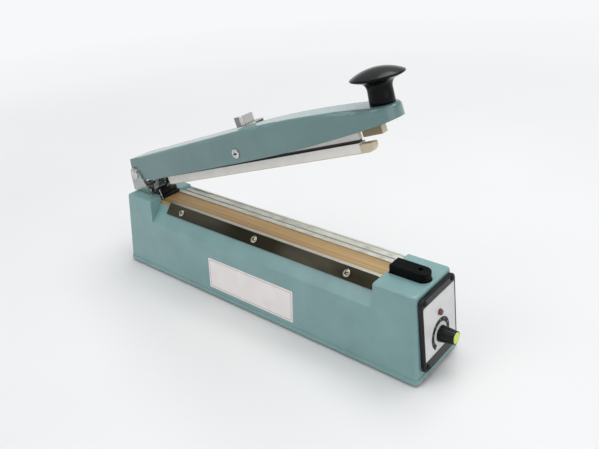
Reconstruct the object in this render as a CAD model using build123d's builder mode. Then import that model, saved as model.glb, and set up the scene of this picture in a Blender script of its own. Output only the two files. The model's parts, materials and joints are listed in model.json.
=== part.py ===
from build123d import *
import os
from math import atan2, cos, degrees, hypot, pi, radians, sin, sqrt, tan

# Hand impulse bag sealer with a cutter. Millimetres, +Z up, +X to the control panel, -Y to the user.
# The origin is on the table, under the middle of the whole part. The arm is shown open, at its stop.

os.makedirs("parts", exist_ok=True)

# Fits and cuts
overrun = 2.0
gap = 0.3
screw_fit = 0.1
run_fit = 0.05
screw_crown_share = 0.65

# Base casting
body_length = 420.0
body_width = 80.0
body_height = 89.0
end_draft = 7.0
side_draft = 7.4
wall = 4.0
lip_height = 4.5
lip_step = 0.8
lip_taper = 8.0
corner_radius = 4.0
edge_radius = 2.5
end_block_length = 52.5
seat_drop = 7.0
fold_drop = 19.5
fold_radius = 2.5
shoulder_angle = 50.0

# Bottom cover, its screws and the feet
foot_height = 3.0
foot_radius = 9.0
foot_top_radius = 10.0
foot_inset_x = 40.0
foot_inset_y = 19.0
foot_bore_depth = 2.2
cover_recess = 1.0
cover_thickness = 1.5
boss_radius = 7.0
boss_height = 28.0
boss_inset_x = 22.0
boss_inset_y = 11.5
boss_middle_x = 95.0
cover_screw_radius = 2.0
cover_screw_head_radius = 3.6
cover_screw_head = 0.9
cover_screw_length = 12.0

# Bed: bar, ribbon, cloth, front strip and rear rail
bed_thickness = 3.2
bed_far_y = 14.0
bed_end_gap = 0.5
ribbon_width = 5.0
ribbon_thickness = 0.2
ribbon_end_gap = 7.5
ribbon_drop = 16.0
ribbon_slot = 1.2
cloth_thickness = 0.3
strip_thickness = 1.2
strip_lip = 3.5
strip_drop = 13.5
strip_left_gap = 18.0
strip_right_gap = 1.0
strip_bend_radius = 1.0
clamp_screw_radius = 2.0
clamp_screw_length = 10.0
clamp_screw_head_radius = 4.0
clamp_screw_head = 2.4
clamp_screw_shares = (-0.39, 0.0, 0.408)
rail_side_gap = 1.28
rail_band = 2.6
rail_lip = 2.7
rail_lip_thickness = 1.2
rail_lip_wall = 1.6
rail_edge_width = 1.8
rail_edge_rise = 1.2
rail_end_gap = 1.0
groove_width = 2.2
groove_depth = 1.6
rail_screw_inset = 3.4
rail_screw_length = 6.0
rail_screw_shares = (-0.4, 0.0, 0.4)

# Ribbon terminals
insulator_length = 14.0
insulator_width = 18.0
insulator_height = 18.0
clamp_block_length = 3.0
clamp_block_width = 10.0
clamp_block_height = 8.0
terminal_cover_length = 11.0
terminal_cover_width = 24.0
terminal_cover_height = 7.5
terminal_cover_chamfer = 2.0
terminal_cover_gap = 2.0

# Hinge bracket, pin and springs
pin_inset = 12.0
pin_rise = 22.0
pin_radius = 4.0
pin_head_radius = 6.0
pin_head = 2.0
pin_tail = 4.0
clip_radius = 6.5
clip_thickness = 1.0
clip_inset = 1.6
clip_groove = 0.8
bracket_sheet = 2.0
ear_gap = 0.4
bracket_left = 7.0
bracket_right = 27.0
ear_radius = 8.0
bracket_screw_radius = 2.5
bracket_screw_length = 9.0
bracket_screw_head_radius = 4.4
bracket_screw_head = 2.6
bracket_screw_left = 2.5
bracket_screw_right = 22.0
bracket_screw_y = 6.5
spring_offset = 14.0
spring_inset = 5.6
spring_radius = 4.6
spring_wire = 1.7
spring_turns = 3
spring_end_quarters = 3
spring_end_pitch_share = 1.3
peg_height = 3.0

# Control panel on the right end
frame_side_gap = 1.3
frame_low = 8.5
frame_top_gap = 3.0
frame_depth = 4.8
frame_corner = 5.0
frame_edge_radius = 1.5
plate_side_margin = 1.75
plate_low = 20.0
plate_top_margin = 8.0
plate_thickness = 1.5
plate_recess = 0.5
plate_corner = 2.0
panel_opening_side_margin = 7.5
panel_opening_low = 17.0
panel_opening_top_margin = 16.0
panel_screw_inset = 5.5
panel_screw_low = 14.0
panel_screw_top_margin = 4.0
panel_screw_radius = 1.5
panel_screw_length = 9.0
panel_screw_head_radius = 2.8
panel_screw_head = 1.6
lamp_rise_share = 0.681
lamp_radius = 3.1
lamp_flange = 4.2
lamp_depth = 10.0
lamp_dome = 3.4
timer_rise_share = 0.276
pot_radius = 8.3
pot_depth = 8.5
bushing_radius = 3.5
bushing_length = 2.6
shaft_radius = 3.0
shaft_depth = 6.0
nut_flats = 10.0
nut_height = 2.0
knob_radius = 8.2
knob_tip_radius = 6.4
knob_length = 15.5
knob_lift = 0.6
knob_flutes = 18
flute_radius = 0.75
nut_recess_radius = 6.5
nut_recess = 3.2
shaft_grip = 9.0
cap_radius = 5.5
cap_thickness = 1.8
cap_proud = 0.6
board_side_gap = 2.0
board_low = 20.0
board_high = 54.0
board_thickness = 1.6
relay_size = (16.0, 19.0, 15.0)
relay_inset = 11.0
relay_rise = 30.5
capacitor_radius = 5.0
capacitor_height = 14.0
capacitor_inset = 9.0
capacitor_rise = 28.0

# Transformer on the bottom cover
core_length = 66.0
core_height = 55.0
core_stack = 30.0
core_leg = 22.0
core_window = 11.0
core_yoke = 11.0
core_x = -30.0
coil_side = 8.5
coil_fit = 0.4
coil_corner = 4.0
strap_sheet = 1.2
strap_width = 24.0
strap_foot = 11.0
inner_screw_radius = 1.5
inner_screw_length = 4.5
inner_screw_head_radius = 2.8
inner_screw_head = 1.6

# Switch lever on the right block, its bracket and the micro switch
lever_left_gap = 2.5
lever_right_gap = 11.5
lever_half_width = 7.75
lever_rise = 9.0
lever_skirt = 10.5
lever_edge_radius = 1.2
lever_hole_radius = 2.2
lever_hole_depth = 3.0
lever_hole_inset = 10.2
lever_slot_gap = 0.9
lever_slot_depth = 14.0
lever_pivot_inset = 12.5
lever_pivot_drop = 7.0
lever_pin_radius = 1.5
lever_pin_overhang = 0.6
cheek_gap = 0.9
cheek_offset = 2.9
cheek_sheet = 1.5
cheek_end_gap = 5.6
cheek_depth = 26.0
flange_width = 8.0
flange_screw_inset = 5.0
switch_length = 20.0
switch_width = 10.3
switch_offset = 3.0
plunger_offset = 6.0
plunger_length = 4.0
plunger_width = 3.0
plunger_rise = 2.4
plunger_depth = 3.0

# Left end: cord gland and fuse holder
gland_rise = 22.0
gland_radius = 8.0
gland_neck = 6.0
gland_bore = 3.6
gland_flange = 2.0
fuse_rise = 50.0
fuse_flange_radius = 8.0
fuse_flange = 2.0
fuse_cap_radius = 6.5
fuse_cap = 2.5
fuse_body_radius = 6.0
fuse_body = 32.0

# Arm casting, measured from the hinge pin along the arm (u) and square to it (v)
open_angle = 19.5
arm_half_width = 18.0
arm_root_u = -1.5
arm_root_top = 18.9
arm_bend_u = 205.0
arm_bend_top = 20.8
arm_nose_top = 9.6
arm_bottom = -11.0
arm_nose_bottom = -1.7
arm_nose_inset = 39.0
arm_wall = 4.0
arm_roof = 5.0
arm_edge_radius = 4.0
arm_root_step = 2.4
arm_boss_radius = 8.0
arm_scallop_radius = 26.0
arm_scallop_slope = 55.0
arm_channel_u = 40.0
pad_low_u = 25.0
pad_high_u = 4.5
pad_high_v = -7.6
lug_radius = 7.0

# Handle knob on the arm
handle_offset = 3.5
handle_radius = 23.6
handle_height = 30.3
handle_stem_radius = 11.2
handle_neck_radius = 10.8
handle_neck_height = 12.0
handle_flare_radius = 18.0
handle_flare_height = 20.3
handle_rim_low = 22.1
handle_rim_high = 24.3
handle_rim_inset = 0.9
handle_seat = 0.1
handle_screw_radius = 2.5
handle_screw_length = 20.0
handle_screw_head_radius = 4.4
handle_screw_head = 2.8

# Bumper that meets the switch lever
bumper_inset = 13.0
bumper_length = 21.5
bumper_width = 8.0
bumper_top = -5.0
bumper_boss_radius = 5.0
bumper_screw_radius = 1.5
bumper_screw_length = 16.0
bumper_screw_head_radius = 2.6
bumper_screw_head = 1.6
bumper_counterbore = 3.0

# Pressure bar and its centre screw
bar_pivot_shift = 1.85
bar_end_gap = 5.7
bar_pivot_v = -1.0
bar_rock_angle = 0.6
bar_shift = 3.0
bar_web = 5.0
bar_web_top = 4.0
bar_neck = 3.0
bar_neck_height = 2.2
bar_holder_width = 10.4
bar_holder_height = 9.0
bar_holder_wall = 1.1
bar_holder_roof = 1.5
silicone_proud = 1.2
silicone_overhang = 14.0
silicone_nose_radius = 6.5
pivot_screw_radius = 2.5
pivot_screw_head_radius = 5.0
pivot_screw_head = 2.2
pivot_screw_end = 1.0

# Cutter guide on the far side of the arm and the cutter that slides on it
guide_start_u = 58.0
guide_nose_gap = 17.0
guide_v = 4.0
guide_neck = 3.0
guide_neck_depth = 2.0
guide_flange = 8.0
guide_flange_depth = 2.0
guide_screw_radius = 1.25
guide_screw_length = 3.5
guide_screw_head_radius = 2.5
guide_screw_head = 1.0
guide_screw_shares = (0.04, 0.5, 0.96)
cutter_shift = -8.5
blade_line = 3.0
carriage_length = 24.0
carriage_height = 15.0
carriage_outer = 3.0
blade_holder_drop = 12.0
blade_holder = 1.4
blade_thickness = 0.6
blade_width = 12.0
blade_rise = 9.0
blade_tip_share = 0.45
tab_sheet = 1.2
tab_lift = 0.6
tab_leg_width = 12.0
tab_leg_drop = 9.0
tab_plate_height = 10.5
tab_flange_length = 8.0
tab_bend_radius = 2.5
cutter_screw_radius = 1.25
cutter_screw_length = 2.4
cutter_screw_head_radius = 2.2
cutter_screw_head = 1.2
cutter_screw_spread = 3.0

# Heights above the table
rim_z = foot_height
top_z = rim_z + body_height
seat_z = top_z - seat_drop
fold_z = seat_z - fold_drop
bed_z = seat_z + bed_thickness
cloth_z = bed_z + cloth_thickness
cover_z = rim_z + cover_recess
cover_top_z = cover_z + cover_thickness
ceiling_z = seat_z - wall
block_ceiling_z = top_z - wall

# Lengths that follow the casting's length, and places along the arm
notch_length = body_length - 2 * end_block_length
ribbon_length = notch_length - 2 * ribbon_end_gap
lever_left = notch_length / 2 + lever_left_gap
lever_right = body_length / 2 - lever_right_gap
lever_pivot_x = lever_right - lever_pivot_inset
arm_nose_u = body_length - pin_inset - arm_nose_inset
handle_u = arm_nose_u + handle_offset
bumper_u = arm_nose_u - bumper_inset
bar_start_u = (body_length - ribbon_length) / 2 - pin_inset - bar_shift
bar_end_u = bar_start_u + ribbon_length - bar_end_gap
bar_pivot_u = (bar_start_u + bar_end_u) / 2 + bar_pivot_shift
guide_end_u = arm_nose_u - guide_nose_gap
cutter_u = (guide_start_u + guide_end_u) / 2 + cutter_shift

# Widths that follow the arm's width
groove_y = arm_half_width + blade_line
arm_root_half_width = arm_half_width - arm_root_step
bracket_half_width = arm_root_half_width + ear_gap + bracket_sheet
spring_y = arm_root_half_width - spring_inset

# Heights on the control panel, up the end wall
frame_high = body_height - frame_top_gap
plate_high = frame_high - plate_top_margin
lamp_rise = plate_low + (plate_high - plate_low) * lamp_rise_share
timer_rise = plate_low + (plate_high - plate_low) * timer_rise_share

# Right end plane and the shift that puts the origin under the middle of the whole part
end_angle = degrees(atan2(end_draft, body_height))
end_cos = cos(radians(end_angle))
end_sin = sin(radians(end_angle))
plate_face = frame_depth - plate_recess
plate_back = plate_face - plate_thickness
knob_base = plate_face + knob_lift
knob_tip = knob_base + knob_length + cap_proud
knob_reach = knob_tip * end_cos - (timer_rise - cap_radius) * end_sin - lip_step
body_x = -knob_reach / 2


def half_width(z):
    """Half the casting's width at a height."""
    return body_width / 2 - lip_step - side_draft * (z - rim_z) / body_height


def half_length(z):
    """Half the casting's length at a height."""
    return body_length / 2 - lip_step - end_draft * (z - rim_z) / body_height


# Sizes of the control panel that follow the end wall
frame_width = 2 * (half_width(top_z) - frame_side_gap)
plate_width = frame_width - 2 * plate_side_margin
panel_opening_width = frame_width - 2 * panel_opening_side_margin
panel_opening_high = frame_high - panel_opening_top_margin
panel_screw_y = frame_width / 2 - panel_screw_inset
panel_screw_high = frame_high - panel_screw_top_margin
board_width = panel_opening_width - 2 * board_side_gap
relay_place = (relay_inset - board_width / 2, relay_rise)
capacitor_place = (board_width / 2 - capacitor_inset, capacitor_rise)


def panel_plane(height=0):
    """Plane on the right end wall, moved out by a height: x is +Y, y runs up the wall."""
    end_x = body_x + half_length(rim_z) + height * end_cos
    return Plane((end_x, 0, rim_z + height * end_sin), x_dir=(0, 1, 0), z_dir=(end_cos, 0, end_sin))


def left_plane(height=0):
    """Plane on the left end wall, moved out by a height: y runs up the wall."""
    end_x = body_x - half_length(rim_z) - height * end_cos
    return Plane((end_x, 0, rim_z + height * end_sin), x_dir=(0, -1, 0), z_dir=(-end_cos, 0, end_sin))


def level(z):
    """Level plane at a height, with its origin at the middle of the casting."""
    return Plane((body_x, 0, z), x_dir=(1, 0, 0), z_dir=(0, 0, 1))


def across(x):
    """Plane across the casting at a length, with y to the far side and z up."""
    return Plane((body_x + x, 0, 0), x_dir=(0, 1, 0), z_dir=(1, 0, 0))


def at(plane, x, y):
    """The same plane with its origin moved to a place on it."""
    return plane.shift_origin(plane.from_local_coords((x, y, 0)))


def outline(points):
    """Face of a closed row of points, in the open sketch."""
    with BuildLine() as edge:
        Polyline(*points, close=True)
    make_face(edge.edges())


def turned(plane, points):
    """Solid turned about a plane's normal from points of radius and height."""
    section = Plane(plane.origin, x_dir=plane.x_dir, z_dir=-plane.y_dir)
    with BuildSketch(section) as profile:
        outline(points)
    revolve(profile.sketch, axis=Axis(plane.origin, plane.z_dir))


def pan_screw(seat, radius, length, head_radius, head):
    """Screw with a rounded head that sits on a plane."""
    turned(
        seat,
        [
            (0, -length),
            (radius, -length),
            (radius, 0),
            (head_radius, 0),
            (head_radius, head / 2),
            (head_radius * screw_crown_share, head),
            (0, head),
        ],
    )


def drafted_block(low_z, high_z, inset):
    """Block with flat drafted faces that lie an inset inside the casting's own."""
    low_length = half_length(low_z) - inset
    high_length = half_length(high_z) - inset
    low_width = half_width(low_z) - inset
    high_width = half_width(high_z) - inset
    with BuildSketch(Plane.XZ) as side_view:
        outline([
            (body_x - low_length, low_z),
            (body_x + low_length, low_z),
            (body_x + high_length, high_z),
            (body_x - high_length, high_z),
        ])
    extrude(side_view.sketch, amount=body_width, both=True)
    with BuildSketch(Plane.YZ) as end_view:
        outline([(-low_width, low_z), (low_width, low_z), (high_width, high_z), (-high_width, high_z)])
    extrude(end_view.sketch, amount=body_length, both=True, mode=Mode.INTERSECT)


# Near shoulder: its fold, its meeting with the bed seat, and offsets of its corner with the bed
slope = radians(shoulder_angle)
fold_y = -half_width(fold_z)
seat_y = fold_y + (seat_z - fold_z) / tan(slope)
bed_near_y = seat_y + bed_thickness / tan(slope)


def bed_corner(offset):
    """Corner of the bed's near edge, moved out of both faces by an offset."""
    return (bed_near_y - offset * tan(slope / 2), bed_z + offset)


def shoulder_point(drop, offset):
    """Place down the near slope from the bed's corner, moved out by an offset."""
    y = bed_near_y - drop * cos(slope) - offset * sin(slope)
    return (y, bed_z - drop * sin(slope) + offset * cos(slope))


def shoulder_plane(x, drop, offset):
    """Plane on the near slope, with x along the casting and z out of the slope."""
    y, z = shoulder_point(drop, offset)
    return Plane((body_x + x, y, z), x_dir=(1, 0, 0), z_dir=(0, -sin(slope), cos(slope)))


strip_left = -notch_length / 2 + strip_left_gap
strip_right = notch_length / 2 - strip_right_gap
strip_length = strip_right - strip_left
clamp_screw_seats = [
    shoulder_plane(strip_length * share, strip_drop / 2, cloth_thickness + strip_thickness)
    for share in clamp_screw_shares
]
bed_length = notch_length - 2 * bed_end_gap
rail_length = notch_length - 2 * rail_end_gap
rail_near_y = bed_far_y + screw_fit
rail_far_y = half_width(seat_z) - rail_side_gap
rail_screw_y = rail_near_y + rail_screw_inset
rail_screw_places = [(rail_length * share, rail_screw_y) for share in rail_screw_shares]

corner_boss_x = body_length / 2 - boss_inset_x
boss_y = body_width / 2 - boss_inset_y
cover_screw_places = [
    (x, y) for x in (-corner_boss_x, -boss_middle_x, boss_middle_x, corner_boss_x) for y in (-boss_y, boss_y)
]
foot_x = body_length / 2 - foot_inset_x
foot_y = body_width / 2 - foot_inset_y
foot_places = [(x, y) for x in (-foot_x, foot_x) for y in (-foot_y, foot_y)]
panel_screw_places = [
    (x, y) for x in (-panel_screw_y, panel_screw_y) for y in (panel_screw_low, panel_screw_high)
]

# Hinge pin, and the arm's planes at rest: u along the arm, v square to it, y across
pin_x = body_x - body_length / 2 + pin_inset
pin_z = top_z + pin_rise
arm_cos = cos(radians(open_angle))
arm_sin = sin(radians(open_angle))
arm_along = Vector(arm_cos, 0, arm_sin)
arm_up = Vector(-arm_sin, 0, arm_cos)


def arm_point(u, v, y=0):
    """Place on the arm in the part's frame."""
    return Vector(pin_x, y, pin_z) + arm_along * u + arm_up * v


def arm_side(y=0):
    """Plane along the arm, seen from the near side, with its origin on the pin's axis."""
    return Plane(arm_point(0, 0, y), x_dir=arm_along, z_dir=(0, -1, 0))


def arm_level(v, u=0):
    """Plane over the arm's length and width."""
    return Plane(arm_point(u, v), x_dir=arm_along, z_dir=arm_up)


arm_end_u = arm_nose_u + arm_half_width + overrun
arm_channel_half = arm_half_width - arm_wall
top_run = hypot(arm_bend_u - arm_root_u, arm_bend_top - arm_root_top)
top_slope = ((arm_bend_u - arm_root_u) / top_run, (arm_bend_top - arm_root_top) / top_run)
arc_u = arm_end_u - arm_bend_u
arc_v = arm_nose_top - arm_bend_top
arc_radius = (arc_u**2 + arc_v**2) / 2 / (arc_u * top_slope[1] - arc_v * top_slope[0])
arc_centre = (arm_bend_u + arc_radius * top_slope[1], arm_bend_top - arc_radius * top_slope[0])


def arm_top(u):
    """Height of the arm's top over the pin."""
    if u < arm_bend_u:
        return arm_bend_top + (u - arm_bend_u) * top_slope[1] / top_slope[0]
    return arc_centre[1] + sqrt(arc_radius**2 - (u - arc_centre[0]) ** 2)


def crown_lines(lower):
    """Line and arc of the arm's top, moved down, in the open line."""
    start = (arm_root_u, arm_root_top - lower)
    bend = (arm_bend_u, arm_bend_top - lower)
    Line(start, bend)
    TangentArc(bend, (arm_end_u, arm_nose_top - lower), tangent=top_slope)


# Base casting
with BuildPart() as hollow:
    drafted_block(rim_z - overrun, block_ceiling_z, wall)
    inner_y = seat_y + wall * (sin(slope) - tan(slope / 2) * cos(slope))
    outer_z = ceiling_z - (inner_y + body_width / 2) * tan(slope)
    with BuildSketch(across(0)):
        outline([
            (-body_width / 2, outer_z),
            (inner_y, ceiling_z),
            (body_width / 2, ceiling_z),
            (body_width / 2, top_z),
            (-body_width / 2, top_z),
        ])
    extrude(amount=notch_length / 2 + wall, both=True, mode=Mode.SUBTRACT)

lever_middle_x = (lever_left + lever_right - lever_half_width) / 2
lever_straight = lever_right - lever_half_width - lever_left
lever_round_x = lever_right - lever_half_width


def lever_outline(grow):
    """Outline of the switch lever from above, grown all round, in the open sketch."""
    with Locations((lever_middle_x, 0)):
        Rectangle(lever_straight + 2 * grow, 2 * (lever_half_width + grow))
    with Locations((lever_round_x, 0)):
        Circle(lever_half_width + grow)


cheek_y = lever_half_width + cheek_gap
flange_y = cheek_y + cheek_sheet + flange_width / 2
cheek_left = lever_left + cheek_offset
cheek_length = lever_right - cheek_end_gap - cheek_left
flange_screw_places = [
    (x, side * flange_y)
    for x in (cheek_left + flange_screw_inset, cheek_left + cheek_length - flange_screw_inset)
    for side in (-1, 1)
]
bracket_screw_places = [
    (pin_inset - body_length / 2 - bracket_screw_left, -bracket_screw_y),
    (pin_inset - body_length / 2 - bracket_screw_left, bracket_screw_y),
    (pin_inset - body_length / 2 + bracket_screw_right, 0),
]

with BuildPart() as base_casting:
    drafted_block(rim_z, top_z, 0)
    fillet(base_casting.edges().group_by(Axis.Z)[1], corner_radius)
    fillet(base_casting.edges().group_by(Axis.Z)[-1], edge_radius)
    with BuildSketch(across(0)):
        outline([
            (-body_width, fold_z),
            (fold_y, fold_z),
            (seat_y, seat_z),
            (body_width, seat_z),
            (body_width, top_z + overrun),
            (-body_width, top_z + overrun),
        ])
    extrude(amount=notch_length / 2, both=True, mode=Mode.SUBTRACT)
    fold_edges = base_casting.edges().filter_by(Axis.X).sort_by_distance((body_x, fold_y, fold_z))
    fillet(fold_edges[0], fold_radius)
    with BuildSketch(level(rim_z)):
        RectangleRounded(body_length, body_width, corner_radius + lip_step)
    extrude(amount=lip_height, taper=lip_taper)
    add(hollow.part, mode=Mode.SUBTRACT)
    with BuildSketch(level(cover_top_z)):
        with Locations(*cover_screw_places):
            Circle(boss_radius)
    extrude(amount=boss_height)
    with BuildSketch(level(cover_top_z)):
        with Locations(*cover_screw_places):
            Circle(cover_screw_radius + screw_fit)
    extrude(amount=cover_screw_length, mode=Mode.SUBTRACT)
    with BuildSketch(level(top_z)):
        lever_outline(lever_slot_gap)
    extrude(amount=-lever_slot_depth, mode=Mode.SUBTRACT)
    with BuildSketch(level(block_ceiling_z)):
        with Locations(*flange_screw_places):
            Circle(inner_screw_radius + screw_fit)
    extrude(amount=inner_screw_length - cheek_sheet, mode=Mode.SUBTRACT)
    with BuildSketch(level(top_z)):
        with Locations(*bracket_screw_places):
            Circle(bracket_screw_radius + screw_fit)
    extrude(amount=-bracket_screw_length, mode=Mode.SUBTRACT)
    with BuildSketch(level(seat_z)):
        with Locations((-ribbon_length / 2, 0), (ribbon_length / 2, 0)):
            Rectangle(ribbon_slot, ribbon_width + ribbon_slot)
    extrude(amount=-wall, mode=Mode.SUBTRACT)
    with BuildSketch(level(ceiling_z)):
        with Locations(*rail_screw_places):
            Circle(inner_screw_radius + screw_fit)
    extrude(amount=wall, mode=Mode.SUBTRACT)
    for seat in clamp_screw_seats:
        with BuildSketch(seat):
            Circle(clamp_screw_radius + screw_fit)
        extrude(amount=-clamp_screw_length, mode=Mode.SUBTRACT)
    with BuildSketch(panel_plane()):
        with Locations((0, (panel_opening_low + panel_opening_high) / 2)):
            RectangleRounded(panel_opening_width, panel_opening_high - panel_opening_low, frame_corner)
    extrude(amount=-wall - overrun, mode=Mode.SUBTRACT)
    with BuildSketch(panel_plane()):
        with Locations(*panel_screw_places):
            Circle(panel_screw_radius + screw_fit)
    extrude(amount=-wall, mode=Mode.SUBTRACT)
    with BuildSketch(left_plane()):
        with Locations((0, gland_rise)):
            Circle(gland_neck)
        with Locations((0, fuse_rise)):
            Circle(fuse_body_radius + screw_fit)
    extrude(amount=-wall - overrun, mode=Mode.SUBTRACT)

# Bottom cover, its screws and the rubber feet
with BuildPart() as bottom_cover:
    drafted_block(cover_z, cover_top_z, wall + gap)
    with BuildSketch(level(cover_z)):
        with Locations(*cover_screw_places):
            Circle(cover_screw_radius + screw_fit)
        with Locations(*foot_places):
            Circle(cover_screw_radius + screw_fit)
    extrude(amount=cover_thickness, mode=Mode.SUBTRACT)

with BuildPart() as cover_screws:
    for x, y in cover_screw_places:
        seat = Plane((body_x + x, y, cover_z), x_dir=(1, 0, 0), z_dir=(0, 0, -1))
        pan_screw(seat, cover_screw_radius, cover_screw_length, cover_screw_head_radius, cover_screw_head)

with BuildPart() as rubber_feet:
    for x, y in foot_places:
        turned(
            at(level(0), x, y),
            [
                (cover_screw_radius + screw_fit, foot_bore_depth),
                (cover_screw_head_radius + screw_fit, foot_bore_depth),
                (cover_screw_head_radius + screw_fit, 0),
                (foot_radius, 0),
                (foot_top_radius, cover_z),
                (cover_screw_radius + screw_fit, cover_z),
            ],
        )

with BuildPart() as foot_screws:
    for x, y in foot_places:
        seat = Plane((body_x + x, y, foot_bore_depth), x_dir=(1, 0, 0), z_dir=(0, 0, -1))
        pan_screw(seat, cover_screw_radius, cover_screw_length / 2, cover_screw_head_radius, cover_screw_head)

# Bed bar with a shallow groove for the ribbon
with BuildPart() as bed_bar:
    with BuildSketch(across(0)):
        outline([(seat_y, seat_z), (bed_far_y, seat_z), (bed_far_y, bed_z), (bed_near_y, bed_z)])
    extrude(amount=bed_length / 2, both=True)
    with BuildSketch(level(bed_z)):
        Rectangle(ribbon_length + ribbon_slot, ribbon_width)
    extrude(amount=-ribbon_thickness, mode=Mode.SUBTRACT)
    with BuildSketch(level(bed_z)):
        with Locations((-ribbon_length / 2, 0), (ribbon_length / 2, 0)):
            Rectangle(ribbon_slot, ribbon_width + ribbon_slot)
    extrude(amount=-bed_thickness, mode=Mode.SUBTRACT)
    for seat in clamp_screw_seats:
        with BuildSketch(seat):
            Circle(clamp_screw_radius + screw_fit)
        extrude(amount=-clamp_screw_length, mode=Mode.SUBTRACT)

with BuildPart() as heating_ribbon:
    with BuildSketch(Plane.XZ):
        with Locations((body_x, bed_z - ribbon_thickness / 2)):
            Rectangle(ribbon_length, ribbon_thickness)
        for side in (-1, 1):
            with Locations((body_x + side * (ribbon_length - ribbon_thickness) / 2, bed_z - ribbon_drop / 2)):
                Rectangle(ribbon_thickness, ribbon_drop)
    extrude(amount=ribbon_width / 2, both=True)

with BuildPart() as ptfe_cloth:
    with BuildSketch(across(0)):
        outline([
            shoulder_point(strip_drop, 0),
            bed_corner(0),
            (bed_far_y, bed_z),
            (bed_far_y, cloth_z),
            bed_corner(cloth_thickness),
            shoulder_point(strip_drop, cloth_thickness),
        ])
    extrude(amount=bed_length / 2, both=True)
    for seat in clamp_screw_seats:
        with BuildSketch(seat):
            Circle(clamp_screw_radius + screw_fit)
        extrude(amount=-clamp_screw_length, mode=Mode.SUBTRACT)
    free_length = strip_left + bed_length / 2
    with BuildSketch(at(level(fold_z), strip_left - free_length / 2, bed_near_y - strip_drop / 2)):
        Rectangle(free_length, strip_drop)
    extrude(amount=bed_z - fold_z, mode=Mode.SUBTRACT)

with BuildPart() as front_strip:
    inner_corner = bed_corner(cloth_thickness)
    outer_corner = bed_corner(cloth_thickness + strip_thickness)
    with BuildSketch(across((strip_left + strip_right) / 2)):
        outline([
            shoulder_point(strip_drop, cloth_thickness),
            inner_corner,
            (inner_corner[0] + strip_lip, inner_corner[1]),
            (inner_corner[0] + strip_lip, outer_corner[1]),
            outer_corner,
            shoulder_point(strip_drop, cloth_thickness + strip_thickness),
        ])
    extrude(amount=strip_length / 2, both=True)
    corner_edge = front_strip.edges().filter_by(Axis.X).sort_by_distance((body_x, *outer_corner))[0]
    fillet(corner_edge, strip_bend_radius)
    for seat in clamp_screw_seats:
        with BuildSketch(seat):
            Circle(clamp_screw_radius + screw_fit)
        extrude(amount=-clamp_screw_length, mode=Mode.SUBTRACT)

with BuildPart() as clamp_screws:
    for seat in clamp_screw_seats:
        pan_screw(seat, clamp_screw_radius, clamp_screw_length, clamp_screw_head_radius, clamp_screw_head)

# Rear rail: clamps the cloth's far edge and has the groove that the knife runs in
with BuildPart() as rear_rail:
    band_z = seat_z + rail_band
    lip_z = cloth_z + rail_lip_thickness
    with BuildSketch(across(0)):
        outline([
            (rail_near_y, seat_z),
            (rail_far_y, seat_z),
            (rail_far_y, band_z + rail_edge_rise),
            (rail_far_y - rail_edge_width, band_z + rail_edge_rise),
            (rail_far_y - rail_edge_width, band_z),
            (groove_y + groove_width / 2, band_z),
            (groove_y + groove_width / 2, band_z - groove_depth),
            (groove_y - groove_width / 2, band_z - groove_depth),
            (groove_y - groove_width / 2, band_z),
            (rail_near_y + rail_lip_wall, band_z),
            (rail_near_y + rail_lip_wall, lip_z),
            (rail_near_y - rail_lip, lip_z),
            (rail_near_y - rail_lip, cloth_z),
            (rail_near_y, cloth_z),
        ])
    extrude(amount=rail_length / 2, both=True)
    with BuildSketch(level(seat_z)):
        with Locations(*rail_screw_places):
            Circle(inner_screw_radius + screw_fit)
    extrude(amount=rail_screw_length - wall, mode=Mode.SUBTRACT)

with BuildPart() as rail_screws:
    for x, y in rail_screw_places:
        seat = Plane((body_x + x, y, ceiling_z), x_dir=(1, 0, 0), z_dir=(0, 0, -1))
        pan_screw(seat, inner_screw_radius, rail_screw_length, inner_screw_head_radius, inner_screw_head)

# Terminals of the ribbon: an insulator under the bed seat at each end, and a brass clamp
with BuildPart() as terminal_insulators:
    for side in (-1, 1):
        with BuildSketch(level(ceiling_z)):
            with Locations((side * (ribbon_length / 2 - ribbon_thickness - insulator_length / 2), 0)):
                Rectangle(insulator_length, insulator_width)
        extrude(amount=-insulator_height)

with BuildPart() as terminal_clamps:
    for side in (-1, 1):
        with BuildSketch(level(bed_z - ribbon_drop)):
            with Locations((side * (ribbon_length + clamp_block_length) / 2, 0)):
                Rectangle(clamp_block_length, clamp_block_width)
        extrude(amount=clamp_block_height)

with BuildPart() as terminal_cover:
    cover_right_x = -notch_length / 2 - terminal_cover_gap
    with BuildSketch(level(top_z)):
        with Locations((cover_right_x - terminal_cover_length / 2, 0)):
            Rectangle(terminal_cover_length, terminal_cover_width)
    extrude(amount=terminal_cover_height)
    chamfer(terminal_cover.edges().group_by(Axis.Z)[-1], terminal_cover_chamfer)

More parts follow.
